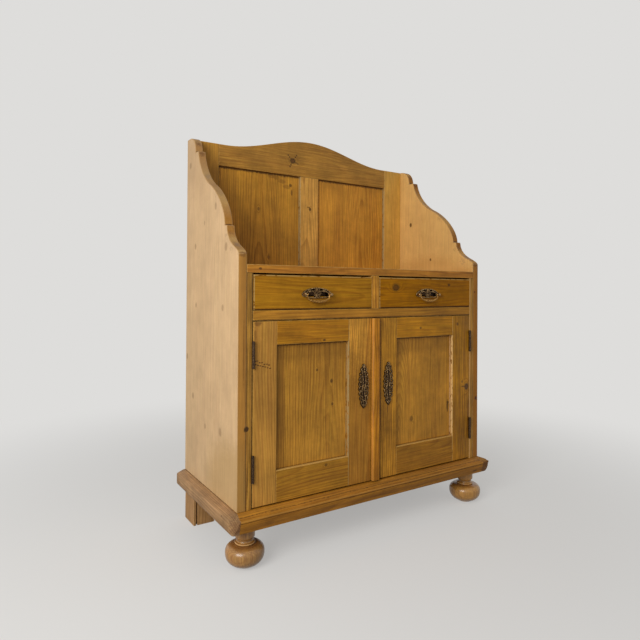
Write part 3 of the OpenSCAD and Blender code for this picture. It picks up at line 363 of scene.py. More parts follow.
wooden("side_left", "carcass", "side_pine", "zyx", "#CBA97E", "#B38B5E", pith=(-60, 90), tilt=0.03,
       seed=1.0, shine=0.55, tints=[((0, -1, 0), "#D8B870", 1.0), scroll_tint],
       knots=[((-outer_x, y, z), radius, strength) for y, z, radius, strength in (
           (208, 1264, 9, 0.4), (-33, 1089, 9, 0.35), (66, 1045, 6, 0.3), (151, 972, 8, 0.4),
           (-119, 954, 10, 0.35), (-96, 766, 8, 0.35), (142, 769, 7, 0.4), (228, 583, 8, 0.4),
           (165, 452, 9, 0.4), (-83, 380, 11, 0.35), (47, 371, 7, 0.35))],
       marks=[((-inner_x, front_y, 414), (8, 20, 10), "#2E180A", 0.9),
              ((-488, front_y, 250), (2.4, 9, 90), "#5A3A14", 0.6),
              ((-492, front_y, 640), (2.2, 9, 120), "#5A3A14", 0.45),
              # These two broad marks darken the outside towards the bottom front and the top back:
              # painted shade, where less light falls.
              ((-outer_x, -190, 210), (through, 260, 190), "#AC8648", 0.4),
              ((-outer_x, 100, 1340), (through, 320, 240), "#A88660", 0.35)] + scroll_stains(-edge_x),
       **side_look)
wooden("side_right", "carcass", "side_pine", "zyx", "#D6A862", "#B08040", pith=(40, -80), tilt=0.03,
       seed=2.3, tints=[((0, -1, 0), "#BE9E54", 1.0), scroll_tint],
       knots=[((inner_x, 146, 1117), 7, 0.9), ((inner_x, 21, 956), 5, 0.85)],
       marks=[((491, front_y, 819), (5, 20, 4), "#4A1C0C", 0.85),
              ((500, front_y, 404), (8, 20, 9), "#4A1C0C", 0.9),
              ((inner_x, 151, 1307), (12, 9, 6), "#E4C08A", 0.8),
              ((inner_x, 20, 880), (30, 300, 110), "#B07C3A", 0.4)] + scroll_stains(edge_x),
       **side_look)


# Display shelf
# One board across the cupboard at drawer height, housed in the sides, with its front edge showing.
# Its upper arris is rubbed pale by what has slid over it.
wooden("display_shelf", "carcass", "front_pine", "xyz", "#BC7C2A", "#8E5818", arris=1.5, ring=4,
       pith=(60, -60), seed=3.1, marks=[((-439, front_y, 886), (7, 12, 4), "#4A2A10", 0.8)],
       strips=[((0, front_y, 897.5), (whole, 3, 1.5), "#B48444")])


# Face strips, drawer rail, divider and runners
# Narrow strips glued inside the front edges of the sides, and the rail and divider that frame the
# drawers. All are planed pine with tight joints, darker than the sides.
strip_marks = {
    # The first is a dark line painted in the gap beside the left door: painted shade.
    "left": [((-463, front_y + 1, 560), (3, 9, whole), "#1C0F06", 0.85),
             ((-481, front_y, 414), (8, 20, 10), "#2E180A", 0.9),
             ((-478, front_y, 260), (2.2, 9, 70), "#4A2A0C", 0.65),
             ((-472, front_y, 350), (2, 9, 60), "#4A2A0C", 0.5),
             ((-479, front_y, 600), (2, 9, 90), "#4A2A0C", 0.45)],
    # A pale line down the inner arris of the right strip is a painted highlight.
    "right": [((465.4, front_y + 1, 500), (2.4, 9, whole), "#CC9E68", 0.8)]}
for side, seed in (("left", 4.0), ("right", 4.7)):
    wooden("face_strip_" + side, "carcass", "front_pine", "zxy", "#B48234", "#80561C", pith=(40, 50),
           tilt=0.01, seed=seed, contrast=1.0, marks=strip_marks[side])
rail_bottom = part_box("drawer_rail")[0].z / mm
wooden("drawer_rail", "carcass", "front_pine", "xzy", "#BA8028", "#885614", pith=(40, 50), tilt=0.01,
       # A dark line along the rail's bottom edge is painted shade in the gap above the doors; the broad
       # mark darkens its right end in painted shade, where the light falls off.
       seed=5.2, marks=[((0, front_y, rail_bottom + 1), (whole, 9, 3), "#2A1408", 0.75),
                        ((460, front_y, 740), (460, through, 60), "#6A4408", 0.25)])
wooden("drawer_divider", "carcass", "front_pine", "zxy", "#D09232", "#A06418", pith=(40, 50), tilt=0.01,
       contrast=1.3, seed=5.9)
wooden("drawer_runners", "carcass", "inside_pine", "yxz", "#B98F5A", "#8A6234", seed=6.1)


# Back of the gallery
# A pegged frame with two thin panels in grooves; the crest rail is sawn to one low wave.
# The panels have shrunk, and a pale strip that was once inside the groove shows at their right.
frame_y, back_panel_y = 218, 228
# Dark lines painted along the panels' edges next to their frames are dirt and painted shadow.
pale_strip, edge_shadow_and_dirt = "#A28C60", "#341D08"
crack_leans = ((6, 8), (-7, 7), (-4, -8), (8, -3))
wooden("back_crest_rail", "carcass", "back_pine", "xzy", "#AE7D31", "#7E4F10", arris=1.8, ring=7,
       pith=(-20, 55), wave=4, seed=7.0, knots=[((-85, frame_y, 1342), 11, 0.95)],
       marks=[((-85 + lean * k, frame_y, 1342 + rise * k), (3.4, through, 4), "#2A1408", 0.85)
              for lean, rise in crack_leans for k in (1, 2, 3)])
wooden("back_stile_left", "carcass", "back_pine", "zxy", "#BA8632", "#8A5C1E", pith=(30, 60),
       seed=7.7, contrast=0.5)
wooden("back_stile_right", "carcass", "back_pine", "zxy", "#D6A54C", "#A47430", pith=(-40, 60), seed=8.3,
       contrast=0.5, strips=[((390, frame_y + 2, 1100), (2, 9, 420), pale_strip)])
wooden("back_muntin", "carcass", "back_pine", "zxy", "#DCA44C", "#A87430", pith=(-25, 70), seed=8.9,
       knots=[((-2, frame_y, 1154), 6, 0.9)],
       marks=[((-10, frame_y, 1162), (9, through, 4), "#4A2A0E", 0.7)],
       strips=[((-47, frame_y + 2, 1100), (2.4, 9, 420), pale_strip)])
wooden("back_panel_left", "carcass", "back_pine", "zxy", "#C1892C", "#89570E", arris=0.6, ring=8,
       pith=(0, 42), tilt=0.05, wave=4, seed=9.4, contrast=0.8,
       knots=[((-231, back_panel_y, 1138), 6, 0.6), ((-186, back_panel_y, 952), 6, 0.6)],
       marks=[((-178 + 24 * k, back_panel_y, 1272 - 4 * k * k), (22, through, 10), "#4A2C0C", 0.35)
              for k in range(4)]
       + [((-90, back_panel_y, 1244), (8, through, 8), "#3A200C", 0.7),
          ((-84, back_panel_y, 1215), (5, through, 16), "#4A2C0C", 0.6),
          ((-225, back_panel_y, 1286), (whole, through, 12), edge_shadow_and_dirt, 0.8),
          ((-402, back_panel_y, 1100), (10, through, whole), edge_shadow_and_dirt, 0.7)],
       strips=[((-49.5, back_panel_y, 1100), (3, through, 420), pale_strip)])
wooden("back_panel_right", "carcass", "back_pine", "zxy", "#C88C30", "#905614", arris=0.6, ring=8,
       pith=(60, 42), tilt=0.03, wave=4, seed=10.2, contrast=0.75,
       marks=[((215, back_panel_y, 1286), (whole, through, 12), edge_shadow_and_dirt, 0.8),
              ((36, back_panel_y, 1100), (10, through, whole), edge_shadow_and_dirt, 0.7)],
       strips=[((388, back_panel_y, 1100), (3, through, 420), pale_strip)])
wooden("back_bottom_rail", "carcass", "back_pine", "xzy", "#A87830", "#7E5218", seed=10.9)


# Inside of the cupboard
# The floor and one shelf are plain unpolished pine, gone brown with age.
# Rough lapped boards close the back, nailed to the shelves from behind.
inside_look = dict(ring=5, wave=4, shine=0.62, gloss=0.2, worn="#B99A6C", dirt="#3A220E")
for node, pith_x, seed in (("cupboard_floor", 80, 11.3), ("inner_shelf", -60, 11.9)):
    wooden(node, "carcass", "inside_pine", "xyz", "#BD9159", "#8C6334", pith=(pith_x, -50), seed=seed,
           **inside_look)
wooden("lower_back_boards", "carcass", "inside_pine", "zxy", "#A98357", "#7C5A34", pith=(30, 60),
       seed=12.4, **inside_look)


# Base frame
# The front rail is moulded in the solid; a plain planted strip runs along each side past its ends.
# Its front is dark with handling and wax, and the left strip is paler, where it was cut and glued on.
lip = (0, -243, 158)
wooden("base_front", "carcass", "base_pine", "xzy", "#A87020", "#74460C", arris=0.8, pith=(40, 60),
       # Dark lines in the moulding's two quirks are dirt and painted shade, and the pale line along the
       # lip is wear and a painted highlight.
       seed=13.0, marks=[((0, -240, 165.5), (whole, 14, 1.8), "#2C1606", 0.75),
                         ((0, -238, 152.5), (whole, 14, 1.6), "#2C1606", 0.75),
                         ((500, -243, 168), (10, 20, 6), "#1C1008", 0.7),
                         ((470, -243, 132), (14, 20, 5), "#2A1408", 0.6),
                         (lip, (whole, 6, 1.8), "#CC9448", 0.55)])
moulding_x = 540
wooden("base_left", "carcass", "base_pine", "yzx", "#A88258", "#7E5A38", arris=1.2, pith=(40, 60),
       seed=13.7, worn="#CDA878", contrast=1.0,
       marks=[((-moulding_x, -172, 159), (8, 3, 3), "#3A2410", 0.8),
              ((-moulding_x, -224, 171), (8, 3, 3), "#3A2410", 0.8),
              # A dark line along the top is painted shadow in the seam under the side board.
              ((0, 0, 176), (whole, whole, 2), "#3A2210", 0.7),
              ((-moulding_x, 0, 104), (whole, whole, 26), "#BE9A74", 0.4)])
wooden("base_right", "carcass", "base_pine", "yzx", "#A07030", "#704A18", arris=1.2, pith=(40, -60),
       seed=14.1)
for node, axes, seed in (("base_side_rails", "yxz", 14.6), ("base_rear_rail", "xyz", 15.0)):
    wooden(node, "carcass", "inside_pine", axes, "#A97F4C", "#7C5A30", seed=seed, **inside_look)


# Feet
# Two buns turned from solid blocks carry the front, two plain square posts the back.
# The buns are the glossiest wood on the piece, with a dark line of dirt and painted shade in the groove
# under the neck, a painted highlight on the ring below it, and a pale line round their foot.
groove_z, ring_z = 77, 70
for side, seed, early in (("left", 16.0, "#A4773E"), ("right", 16.6, "#BE8A42")):
    wooden("bun_foot_" + side, "carcass", "foot_pine", "zxy", early, "#86541F", arris=0.8, ring=4,
           pith=(45, 55), tilt=0.06, wave=3, seed=seed, shine=0.34, gloss=0.5, coat=0.5,
           # A dark line in the groove is dirt and painted shade, a pale one on the ring is a painted
           # highlight, and a pale one runs round the foot.
           marks=[((0, 0, groove_z), (whole, whole, 2), "#3A200C", 0.5),
                  ((0, 0, ring_z), (whole, whole, 2), "#CC9E60", 0.5),
                  ((0, 0, 1), (whole, whole, 3), "#C89A60", 0.6)])
    wooden("rear_foot_" + side, "carcass", "foot_pine", "zxy", "#AE8250", "#865E2C", arris=1.5, ring=4,
           pith=(45, 55), seed=seed + 0.3, worn="#BE9868")


# Doors
# Each is a frame of two stiles and two rails, tenoned, round a thin panel set well back.
# The frames have a square edge, rubbed bright along the bottom rail; the panels have shrunk too.
panel_y, panel_mid_z, panel_low_z = -202, 465, 275
# Broad darker bands under each panel's top rail, and along the left panel's hinge stile, are painted
# shade.
worn_arris, painted_shade = "#CCA660", "#5E3C0E"
chip_wobble = (0, 3, -1, 2, -2, 1, 0)
wooden("left_door_hinge_stile", "left_door", "front_pine", "zxy", "#BA8638", "#8A5A1E", pith=(-50, 55),
       seed=17.0, contrast=0.65,
       marks=[((-456 + 8 * i + 3 * row, front_y, 611 - 2.4 * i - 10 * row + wobble * (0.8 - row)),
               (4.5, through, 2.4), "#42240C", 0.85)
              for row in (0, 1) for i, wobble in enumerate(chip_wobble)]
       + [((-446, front_y, 722), (14, through, 10), "#5E3A16", 0.6),
          ((-455, front_y, 690), (5, through, 24), "#5E3A16", 0.5)])
wooden("left_door_lock_stile", "left_door", "front_pine", "zxy", "#DD9E3B", "#AA6E22", pith=(45, 55),
       seed=17.6, marks=[((-67, front_y, 260), (whole, through, 420), "#805010", 0.62)], contrast=1.1,
       strips=[((-113, front_y + 3, panel_mid_z), (2, 9, 420), pale_strip)])
wooden("left_door_top_rail", "left_door", "front_pine", "xzy", "#B87C18", "#885008", pith=(-30, 55),
       seed=18.1, knots=[((-210, front_y, 663), 4, 0.8)])
wooden("left_door_bottom_rail", "left_door", "front_pine", "xzy", "#B07B22", "#814E0E", pith=(40, 55),
       seed=18.8, knots=[((-201, front_y, 262), 5, 0.7)],
       marks=[((0, front_y + 1, panel_low_z), (whole, 14, 1.7), worn_arris, 0.75)])
wooden("left_door_panel", "left_door", "front_pine", "zxy", "#C28A30", "#8E5A18", arris=0.5, ring=9,
       pith=(60, 38), tilt=0.02, wave=4, seed=19.4, contrast=0.85,
       knots=[((-230, panel_y, 567), 4, 0.8), ((-174, panel_y, 527), 5, 0.8),
              ((-170, panel_y, 452), 4, 0.8)],
       marks=[((-108, panel_y, 276), (14, through, 14), "#5A3810", 0.5),
              # Along the panel's edges, dark lines of dirt and painted shadow; then broad bands of
              # painted shade.
              ((-250, panel_y, 658), (whole, through, 9), edge_shadow_and_dirt, 0.7),
              ((-384, panel_y, panel_mid_z), (8, through, whole), edge_shadow_and_dirt, 0.7),
              ((-250, panel_y, 274), (whole, through, 5), edge_shadow_and_dirt, 0.5),
              ((-250, panel_y, 650), (whole, through, 60), painted_shade, 0.3),
              ((-380, panel_y, panel_mid_z), (44, through, whole), painted_shade, 0.35)],
       strips=[((-115, panel_y, panel_mid_z), (2.4, through, 420), pale_strip)])
wooden("right_door_hinge_stile", "right_door", "front_pine", "zxy", "#B57C18", "#864F08", pith=(50, 55),
       seed=20.0, contrast=1.1,
       knots=[((397, front_y, 697), 5, 0.8), ((423, front_y, 475), 4, 0.7),
              ((447, front_y, 454), 11, 0.95)],
       marks=[((430, front_y, 456), (14, through, 4), "#5A3410", 0.7)],
       strips=[((371, front_y + 3, panel_mid_z), (2, 9, 420), "#DCB67A")])
wooden("right_door_lock_stile", "right_door", "front_pine", "zxy", "#C08728", "#8A5412", pith=(-45, 55),
       seed=20.7, contrast=1.1,
       marks=[((53, front_y, 413), (3, through, 16), "#5E3A14", 0.6),
              # The dark band beside the meeting bead is the bead's painted shadow.
              ((14, front_y, panel_mid_z), (10, through, whole), "#4A2C08", 0.75)])
wooden("right_door_top_rail", "right_door", "front_pine", "xzy", "#BC8018", "#8C5608", pith=(-30, 55),
       seed=21.3, knots=[((207, front_y, 688), 4, 0.8)])
wooden("right_door_bottom_rail", "right_door", "front_pine", "xzy", "#A9731E", "#7A460A", pith=(40, 55),
       seed=21.9, marks=[((0, front_y + 1, panel_low_z), (whole, 14, 1.7), worn_arris, 0.7)])
wooden("right_door_panel", "right_door", "front_pine", "zxy", "#C68C30", "#905A18", arris=0.5, ring=6,
       pith=(-118, 26), tilt=0.16, wave=3, seed=22.5, contrast=0.85,
       knots=[((175, panel_y, 361), 8, 0.6), ((359, panel_y, 400), 5, 0.8)],
       marks=[((357, panel_y, 388), (6, through, 26), "#3E2A10", 0.75),
              ((368, panel_y, 471), (4, through, 12), "#3A220E", 0.8),
              # Along the panel's edges, dark lines of dirt and painted shadow; then a broad band of
              # painted shade under the top rail.
              ((230, panel_y, 658), (whole, through, 9), edge_shadow_and_dirt, 0.7),
              ((92, panel_y, panel_mid_z), (8, through, whole), edge_shadow_and_dirt, 0.7),
              ((230, panel_y, 274), (whole, through, 5), edge_shadow_and_dirt, 0.5),
              ((230, panel_y, 650), (whole, through, 60), painted_shade, 0.35)],
       strips=[((369, panel_y, panel_mid_z), (4.5, through, 420), "#DDB380")])


# Meeting bead
# A half-round strip of redder pine nailed to the right door's edge, which covers the gap.
# It has one dark knot low down, and a faint pale line painted down its left side is a painted highlight.
wooden("meeting_bead", "right_door", "bead_pine", "zxy", "#C2801E", "#94560C", arris=0.8, pith=(30, 45),
       seed=23.1, contrast=1.0, marks=[((13, -225, 313), (4, through, 5), "#2E180A", 0.9),
                                       # A painted highlight down the bead's left side.
                                       ((-18, -220, 450), (3, 8, whole), "#D8A468", 0.15)])


# Drawers
# The fronts are the darkest boards, with fine wavy grain; the boxes behind are bare pine.
# Sides are dovetailed to the front, and the bottom slides in grooves.
drawer_knots = {"left": [], "right": [((89, front_y, 834), 13, 0.85), ((350, front_y, 845), 5, 0.95)]}
drawer_colours = {"left": ("#AD7718", "#794609"), "right": ("#A66B04", "#723F04")}
for side, seed in (("left", 24.0), ("right", 25.5)):
    body = side + "_drawer"
    low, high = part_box(body + "_front")
    wooden(body + "_front", body, "drawer_pine", "xzy", *drawer_colours[side], ring=7, pith=(-12, 45),
           wave=5, seed=seed, knots=drawer_knots[side], contrast=0.72, gloss=0.15,
           # A dark line along the front's bottom edge is painted shade in the gap under the drawer.
           marks=[((0, front_y + 1, low.z / mm + 1), (whole, 5, 3.2), "#2E1206", 0.8)],
           strips=[((0, front_y + 1, high.z / mm - 2), (whole, 5, 2.0), "#B89254"),
                   ((low.x / mm + 2.4, front_y + 1, 800), (2.0, 5, whole), "#C09A5C")])
    for part, axes, step in (("_sides", "yzx", 0.3), ("_back", "xzy", 0.6), ("_bottom", "xyz", 0.9)):
        wooden(body + part, body, "inside_pine", axes, "#C39A63", "#93703F", arris=0.6,
               seed=seed + step, **inside_look)


# Hinges, lock and bolts
# Forged iron gone brown, with five knuckles on a pin; the leaves are let in and held by slotted screws.
# The lapped boards behind the cupboard are held by rows of round-headed nails.
def metal(name, patina, rubbed, roughness, low_y=None, metallic=1.0, spot_mm=3.0):
    """Old forged or cast metal: dull where its brown patina holds, and brighter where hands rubbed it
    away, in spots of spot_mm and wherever it stands proud in front of low_y; the bright places are partly
    painted glints."""
    material, tree = blank(name)
    place = add(tree, "ShaderNodeTexCoord").outputs["Object"]
    spots = noise(tree, place, 1 / (spot_mm * mm), 4.0, 0.6)
    rubbed_and_glinting = mapped(tree, spots, (0.46, 0.6))
    if low_y is not None:
        depth = add(tree, "ShaderNodeSeparateXYZ", {0: place}).outputs["Y"]
        proud = mapped(tree, depth, ((low_y - 0.5) * mm, (low_y - 1.6) * mm), 0.05, 1.0)
        rubbed_and_glinting = maths(tree, "ADD", rubbed_and_glinting, 0.12)
        rubbed_and_glinting = maths(tree, "MULTIPLY", rubbed_and_glinting, proud, use_clamp=True)
    # Bright where the patina is rubbed through: wear, and partly painted glints.
    colour = mixed(tree, rubbed_and_glinting, patina, rubbed)
    rough = mapped(tree, spots, noise_span, roughness + 0.12, roughness - 0.08)
    bump = add(tree, "ShaderNodeBump", {"Height": spots, "Strength": 0.5, "Distance": 0.3 * mm})
    surface = add(tree, "ShaderNodeBsdfPrincipled", {"Base Color": colour, "Roughness": rough,
                                                     "Metallic": metallic, "Normal": bump})
    add(tree, "ShaderNodeOutputMaterial", {"Surface": surface})
    return material


def covered(material, *nodes):
    """Gives CAD nodes that are kept as they are a material."""
    for node in nodes:
        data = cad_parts[node].data
        data.materials.clear()
        data.materials.append(material)


iron = metal("browned_iron", "#2C1C10", "#5E462A", 0.5, metallic=0.6)
covered(iron, "hinge_frame_leaves", "hinge_pins", "left_door_hinge_leaves", "right_door_hinge_leaves",
        "left_door_bolt_plate", "left_door_bolt", "lock_case", "lock_bolt")


def geometry_tree(name, **inputs):
    """A new Geometry Nodes tree with these inputs, and their sockets inside it."""
    tree = bpy.data.node_groups.new(name, "GeometryNodeTree")
    for key, kind in inputs.items():
        tree.interface.new_socket(key, in_out="INPUT", socket_type="NodeSocket" + kind)
    tree.interface.new_socket("Geometry", in_out="OUTPUT", socket_type="NodeSocketGeometry")
    return tree, add(tree, "NodeGroupInput").outputs


def heads(name, slotted):
    """Geometry Nodes tree: a row of nail or screw heads."""
    tree, given = geometry_tree(name, Count="Int", Start="Vector", Step="Vector", Facing="Vector",
                                Radius="Float", Height="Float", Material="Material")
    line = add(tree, "GeometryNodeMeshLine", {"Count": given["Count"], "Start Location": given["Start"],
                                              "Offset": given["Step"]}, mode="OFFSET")
    crown = maths(tree, "MULTIPLY", given["Radius"], 0.8)
    head = add(tree, "GeometryNodeMeshCone", {"Vertices": 14, "Radius Top": crown,
                                              "Radius Bottom": given["Radius"],
                                              "Depth": given["Height"]}).outputs["Mesh"]
    if slotted:
        slot_long, slot_wide = 10 * mm, 0.7 * mm
        slot_size = add(tree, "ShaderNodeCombineXYZ", {0: slot_long, 1: slot_wide, 2: given["Height"]})
        slot_place = add(tree, "ShaderNodeCombineXYZ", {2: given["Height"]})
        bar = add(tree, "GeometryNodeMeshCube", {"Size": slot_size}).outputs["Mesh"]
        bar = add(tree, "GeometryNodeTransform", {"Geometry": bar, "Translation": slot_place})
        cut = add(tree, "GeometryNodeMeshBoolean", operation="DIFFERENCE")
        tree.links.new(head, cut.inputs["Mesh 1"])
        tree.links.new(bar.outputs[0], cut.inputs["Mesh 2"])
        head = cut.outputs["Mesh"]
    turn = add(tree, "FunctionNodeAlignRotationToVector", {"Vector": given["Facing"]}, axis="Z")
    row = add(tree, "GeometryNodeInstanceOnPoints", {"Points": line, "Instance": head, "Rotation": turn})
    real = add(tree, "GeometryNodeRealizeInstances", {"Geometry": row})
    shown = add(tree, "GeometryNodeSetMaterial", {"Geometry": real, "Material": given["Material"]})
    add(tree, "NodeGroupOutput", {"Geometry": shown})
    return tree


def grown(tree, **sizes):
    """The mesh that a Geometry Nodes tree makes with these sizes."""
    holder = placed(tree.name, bpy.data.meshes.new(tree.name))
    modifier = holder.modifiers.new(tree.name, "NODES")
    modifier.node_group = tree
    for socket in tree.interface.items_tree:
        if socket.in_out == "INPUT":
            modifier[socket.identifier] = sizes[socket.name]
    ready = bpy.context.evaluated_depsgraph_get()
    data = bpy.data.meshes.new_from_object(holder.evaluated_get(ready), depsgraph=ready)
    bpy.data.objects.remove(holder)
    return data


def fitted(name, meshes, body):
    """One piece of the given meshes, riding on a body."""
    joined = bmesh.new()
    for data in meshes:
        joined.from_mesh(data)
    data = meshes[0].copy()
    joined.to_mesh(data)
    joined.free()
    data.name = name
    piece = placed(name, data)
    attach(piece, body)
    return piece


# Three screws in each leaf, which lies flat on the strip or on the door's edge
screw_row = heads("screw_row", True)
leaf_front, leaf_back = -213.5 * mm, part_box("left_door_hinge_leaves")[1].y
screw_y = (leaf_front + leaf_back) / 2 + 2 * mm
screw_r, screw_gap = 3.4 * mm, 26 * mm
screw_sink, screw_proud = 0.5 * mm, 0.25 * mm
hinge_heights = (293 * mm, 630 * mm)
for body, name, face_x, turned in (("carcass", "frame_left", -463, 1),
                                   ("carcass", "frame_right", 463, -1),
                                   ("left_door", "door_left", -461, -1),
                                   ("right_door", "door_right", 461, 1)):
    screw_x = face_x * mm - turned * screw_sink
    rows = [grown(screw_row, Count=3, Start=(screw_x, screw_y, z - screw_gap), Step=(0, 0, screw_gap),
                  Facing=(turned, 0, 0), Radius=screw_r, Height=screw_sink + screw_proud, Material=iron)
            for z in hinge_heights]
    fitted(name + "_hinge_screws", rows, body)

nail_row = heads("nail_row", False)
nail_count, nail_gap, nail_r = 10, 99 * mm, 3 * mm
nail_sink, nail_proud = 0.3 * mm, 0.8 * mm
nail_x = -(nail_count - 1) / 2 * nail_gap
nail_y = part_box("lower_back_boards")[1].y - nail_sink
rows = []
for shelf in ("cupboard_floor", "inner_shelf", "display_shelf"):
    low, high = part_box(shelf)
    rows.append(grown(nail_row, Count=nail_count, Start=(nail_x, nail_y, (low.z + high.z) / 2),
                      Step=(nail_gap, 0, 0), Facing=(0, 1, 0), Radius=nail_r,
                      Height=nail_sink + nail_proud, Material=iron))
fitted("back_board_nails", rows, "carcass")


# Escutcheons
# Thin pierced castings of brass gone purplish brown: an upright oval of scrolls round a stem, with a
# knop above and a leaf below. The scrolls stand proud of the plate, and their backs are rubbed bright,
# partly as painted glints.
plate_y = -216.0
bronze = metal("patinated_and_glinting_brass", "#24130A", "#D6AE76", 0.28, low_y=plate_y, metallic=0.9, spot_mm=3.2)


def swept(mesh, points, radii, proud=1.0, closed=False, sides=8):
    """A rod along points that keep one depth, flattened from front to back by proud."""
    rings = []
    last = len(points) - 1
    for i, point in enumerate(points):
        before = points[i - 1 if closed or i else 0]
        after = points[(i + 1) % len(points) if closed else min(i + 1, last)]
        along = (after - before).normalized()
        across = Vector((-along.z, 0, along.x))
        rings.append([mesh.verts.new(point + radii[i] * (
            across * math.cos(turn) - Vector((0, proud * math.sin(turn), 0))))
            for turn in (2 * math.pi * k / sides for k in range(sides))])
    pairs = list(zip(rings, rings[1:])) + ([(rings[-1], rings[0])] if closed else [])
    for first, second in pairs:
        for k in range(sides):
            mesh.faces.new((first[k - 1], first[k], second[k], second[k - 1]))
    if not closed:
        mesh.faces.new(rings[0])
        mesh.faces.new(rings[-1])


def arc(radius, start, stop, step, v=0):
    """Points round (0, v), from an angle in degrees to before another."""
    return [(radius * math.cos(math.radians(a)), v + radius * math.sin(math.radians(a)))
            for a in range(start, stop, step)]


def cast(name, mesh, material, body):
    """A finished casting as a piece that rides on a body."""
    bmesh.ops.recalc_face_normals(mesh, faces=mesh.faces)
    data = finished(name, mesh)
    data.shade_smooth()
    data.materials.append(material)
    piece = placed(name, data)
    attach(piece, body)
    return piece


key_z, hole_r, knop_r = 501.0, 5, 4.2
oval_h, oval_w = 150.0, 44.0
scroll_rows = 4
scroll_pitch = oval_h / 2 / (scroll_rows + 0.7)
scroll_r = 0.56 * scroll_pitch
for side, key_x in (("left", -52.5), ("right", 54.5)):
    mesh = bmesh.new()

    def at(u, v, x=key_x):
        """A point on the plate's face, u beside and v above the keyhole."""
        return Vector((x + u, plate_y, key_z + v)) * mm

    for flip, up, row in ((f, w, i + 0.5) for f in (-1, 1) for w in (-1, 1) for i in range(scroll_rows)):
        v = up * row * scroll_pitch
        u = flip * (oval_w / 2 * (1 - (2 * v / oval_h) ** 2) ** 0.6 - scroll_r)
        winding = [(math.radians(-130 + 24 * k), scroll_r * (0.95 - 0.034 * k)) for k in range(20)]
        swept(mesh, [at(u + flip * r * math.cos(a), v + up * r * math.sin(a)) for a, r in winding],
              [(1.6 - 0.04 * k) * mm for k in range(20)])
    for flip in (-1, 1):
        stem = [(flip * 5.2 + 2.2 * math.sin(2 * math.pi * v / 74), v) for v in range(-58, 60, 4)]
        swept(mesh, [at(u, v) for u, v in stem], [1.5 * mm] * len(stem))
    rim = [(2.8, -14)] + arc(hole_r, -50, 231, 20) + [(-2.8, -14)]
    swept(mesh, [at(u, v) for u, v in rim], [1.1 * mm] * len(rim), proud=1.2, closed=True)
    knop = arc(knop_r, 0, 360, 30, v=67.8)
    swept(mesh, [at(u, v) for u, v in knop], [2.2 * mm] * len(knop), proud=0.8, closed=True)
    for lean in (-1, 0, 1):
        leaf = [(lean * 5 * math.sin(t * 2.2), -60 - 14 * t + abs(lean) * 5 * t)
                for t in (0, 0.25, 0.5, 0.75, 1)]
        swept(mesh, [at(u, v) for u, v in leaf], [r * mm for r in (1.2, 2.0, 2.2, 1.6, 0.6)], proud=0.7)
    cast(side + "_door_escutcheon_scrolls", mesh, bronze, side + "_door")


# Drawer pulls and bails
# Each plate is a pierced oval cast in brass, with a ribbed shell in the middle, an arm with a scroll on
# each side and a boss round each post. The bail is a crescent, thicker at its middle, rubbed by hands;
# its bright spots and the pale ribs are partly painted glints.
def fan():
    """Geometry Nodes tree: ribs that spread from a centre in the plane of a drawer front."""
    tree, given = geometry_tree("shell_ribs", Count="Int", Start="Float", Length="Float",
                                Thickness="Float", Place="Vector", Material="Material")
    circle = add(tree, "GeometryNodeMeshCircle", {"Vertices": given["Count"], "Radius": given["Start"]})
    narrow = maths(tree, "MULTIPLY", given["Thickness"], 0.45)
    rib = add(tree, "GeometryNodeMeshCone", {"Vertices": 8, "Side Segments": 3, "Radius Bottom": narrow,
                                             "Radius Top": given["Thickness"], "Depth": given["Length"]})
    outward = add(tree, "GeometryNodeInputPosition")
    turn = add(tree, "FunctionNodeAlignRotationToVector", {"Vector": outward}, axis="Z")
    ribs = add(tree, "GeometryNodeInstanceOnPoints", {"Points": circle, "Instance": rib.outputs["Mesh"],
                                                      "Rotation": turn})
    real = add(tree, "GeometryNodeRealizeInstances", {"Geometry": ribs})
    stood = add(tree, "GeometryNodeTransform", {"Geometry": real, "Translation": given["Place"],
                                                "Rotation": (math.pi / 2, 0, 0)})
    shown = add(tree, "GeometryNodeSetMaterial", {"Geometry": stood, "Material": given["Material"]})
    add(tree, "NodeGroupOutput", {"Geometry": shown})
    return tree


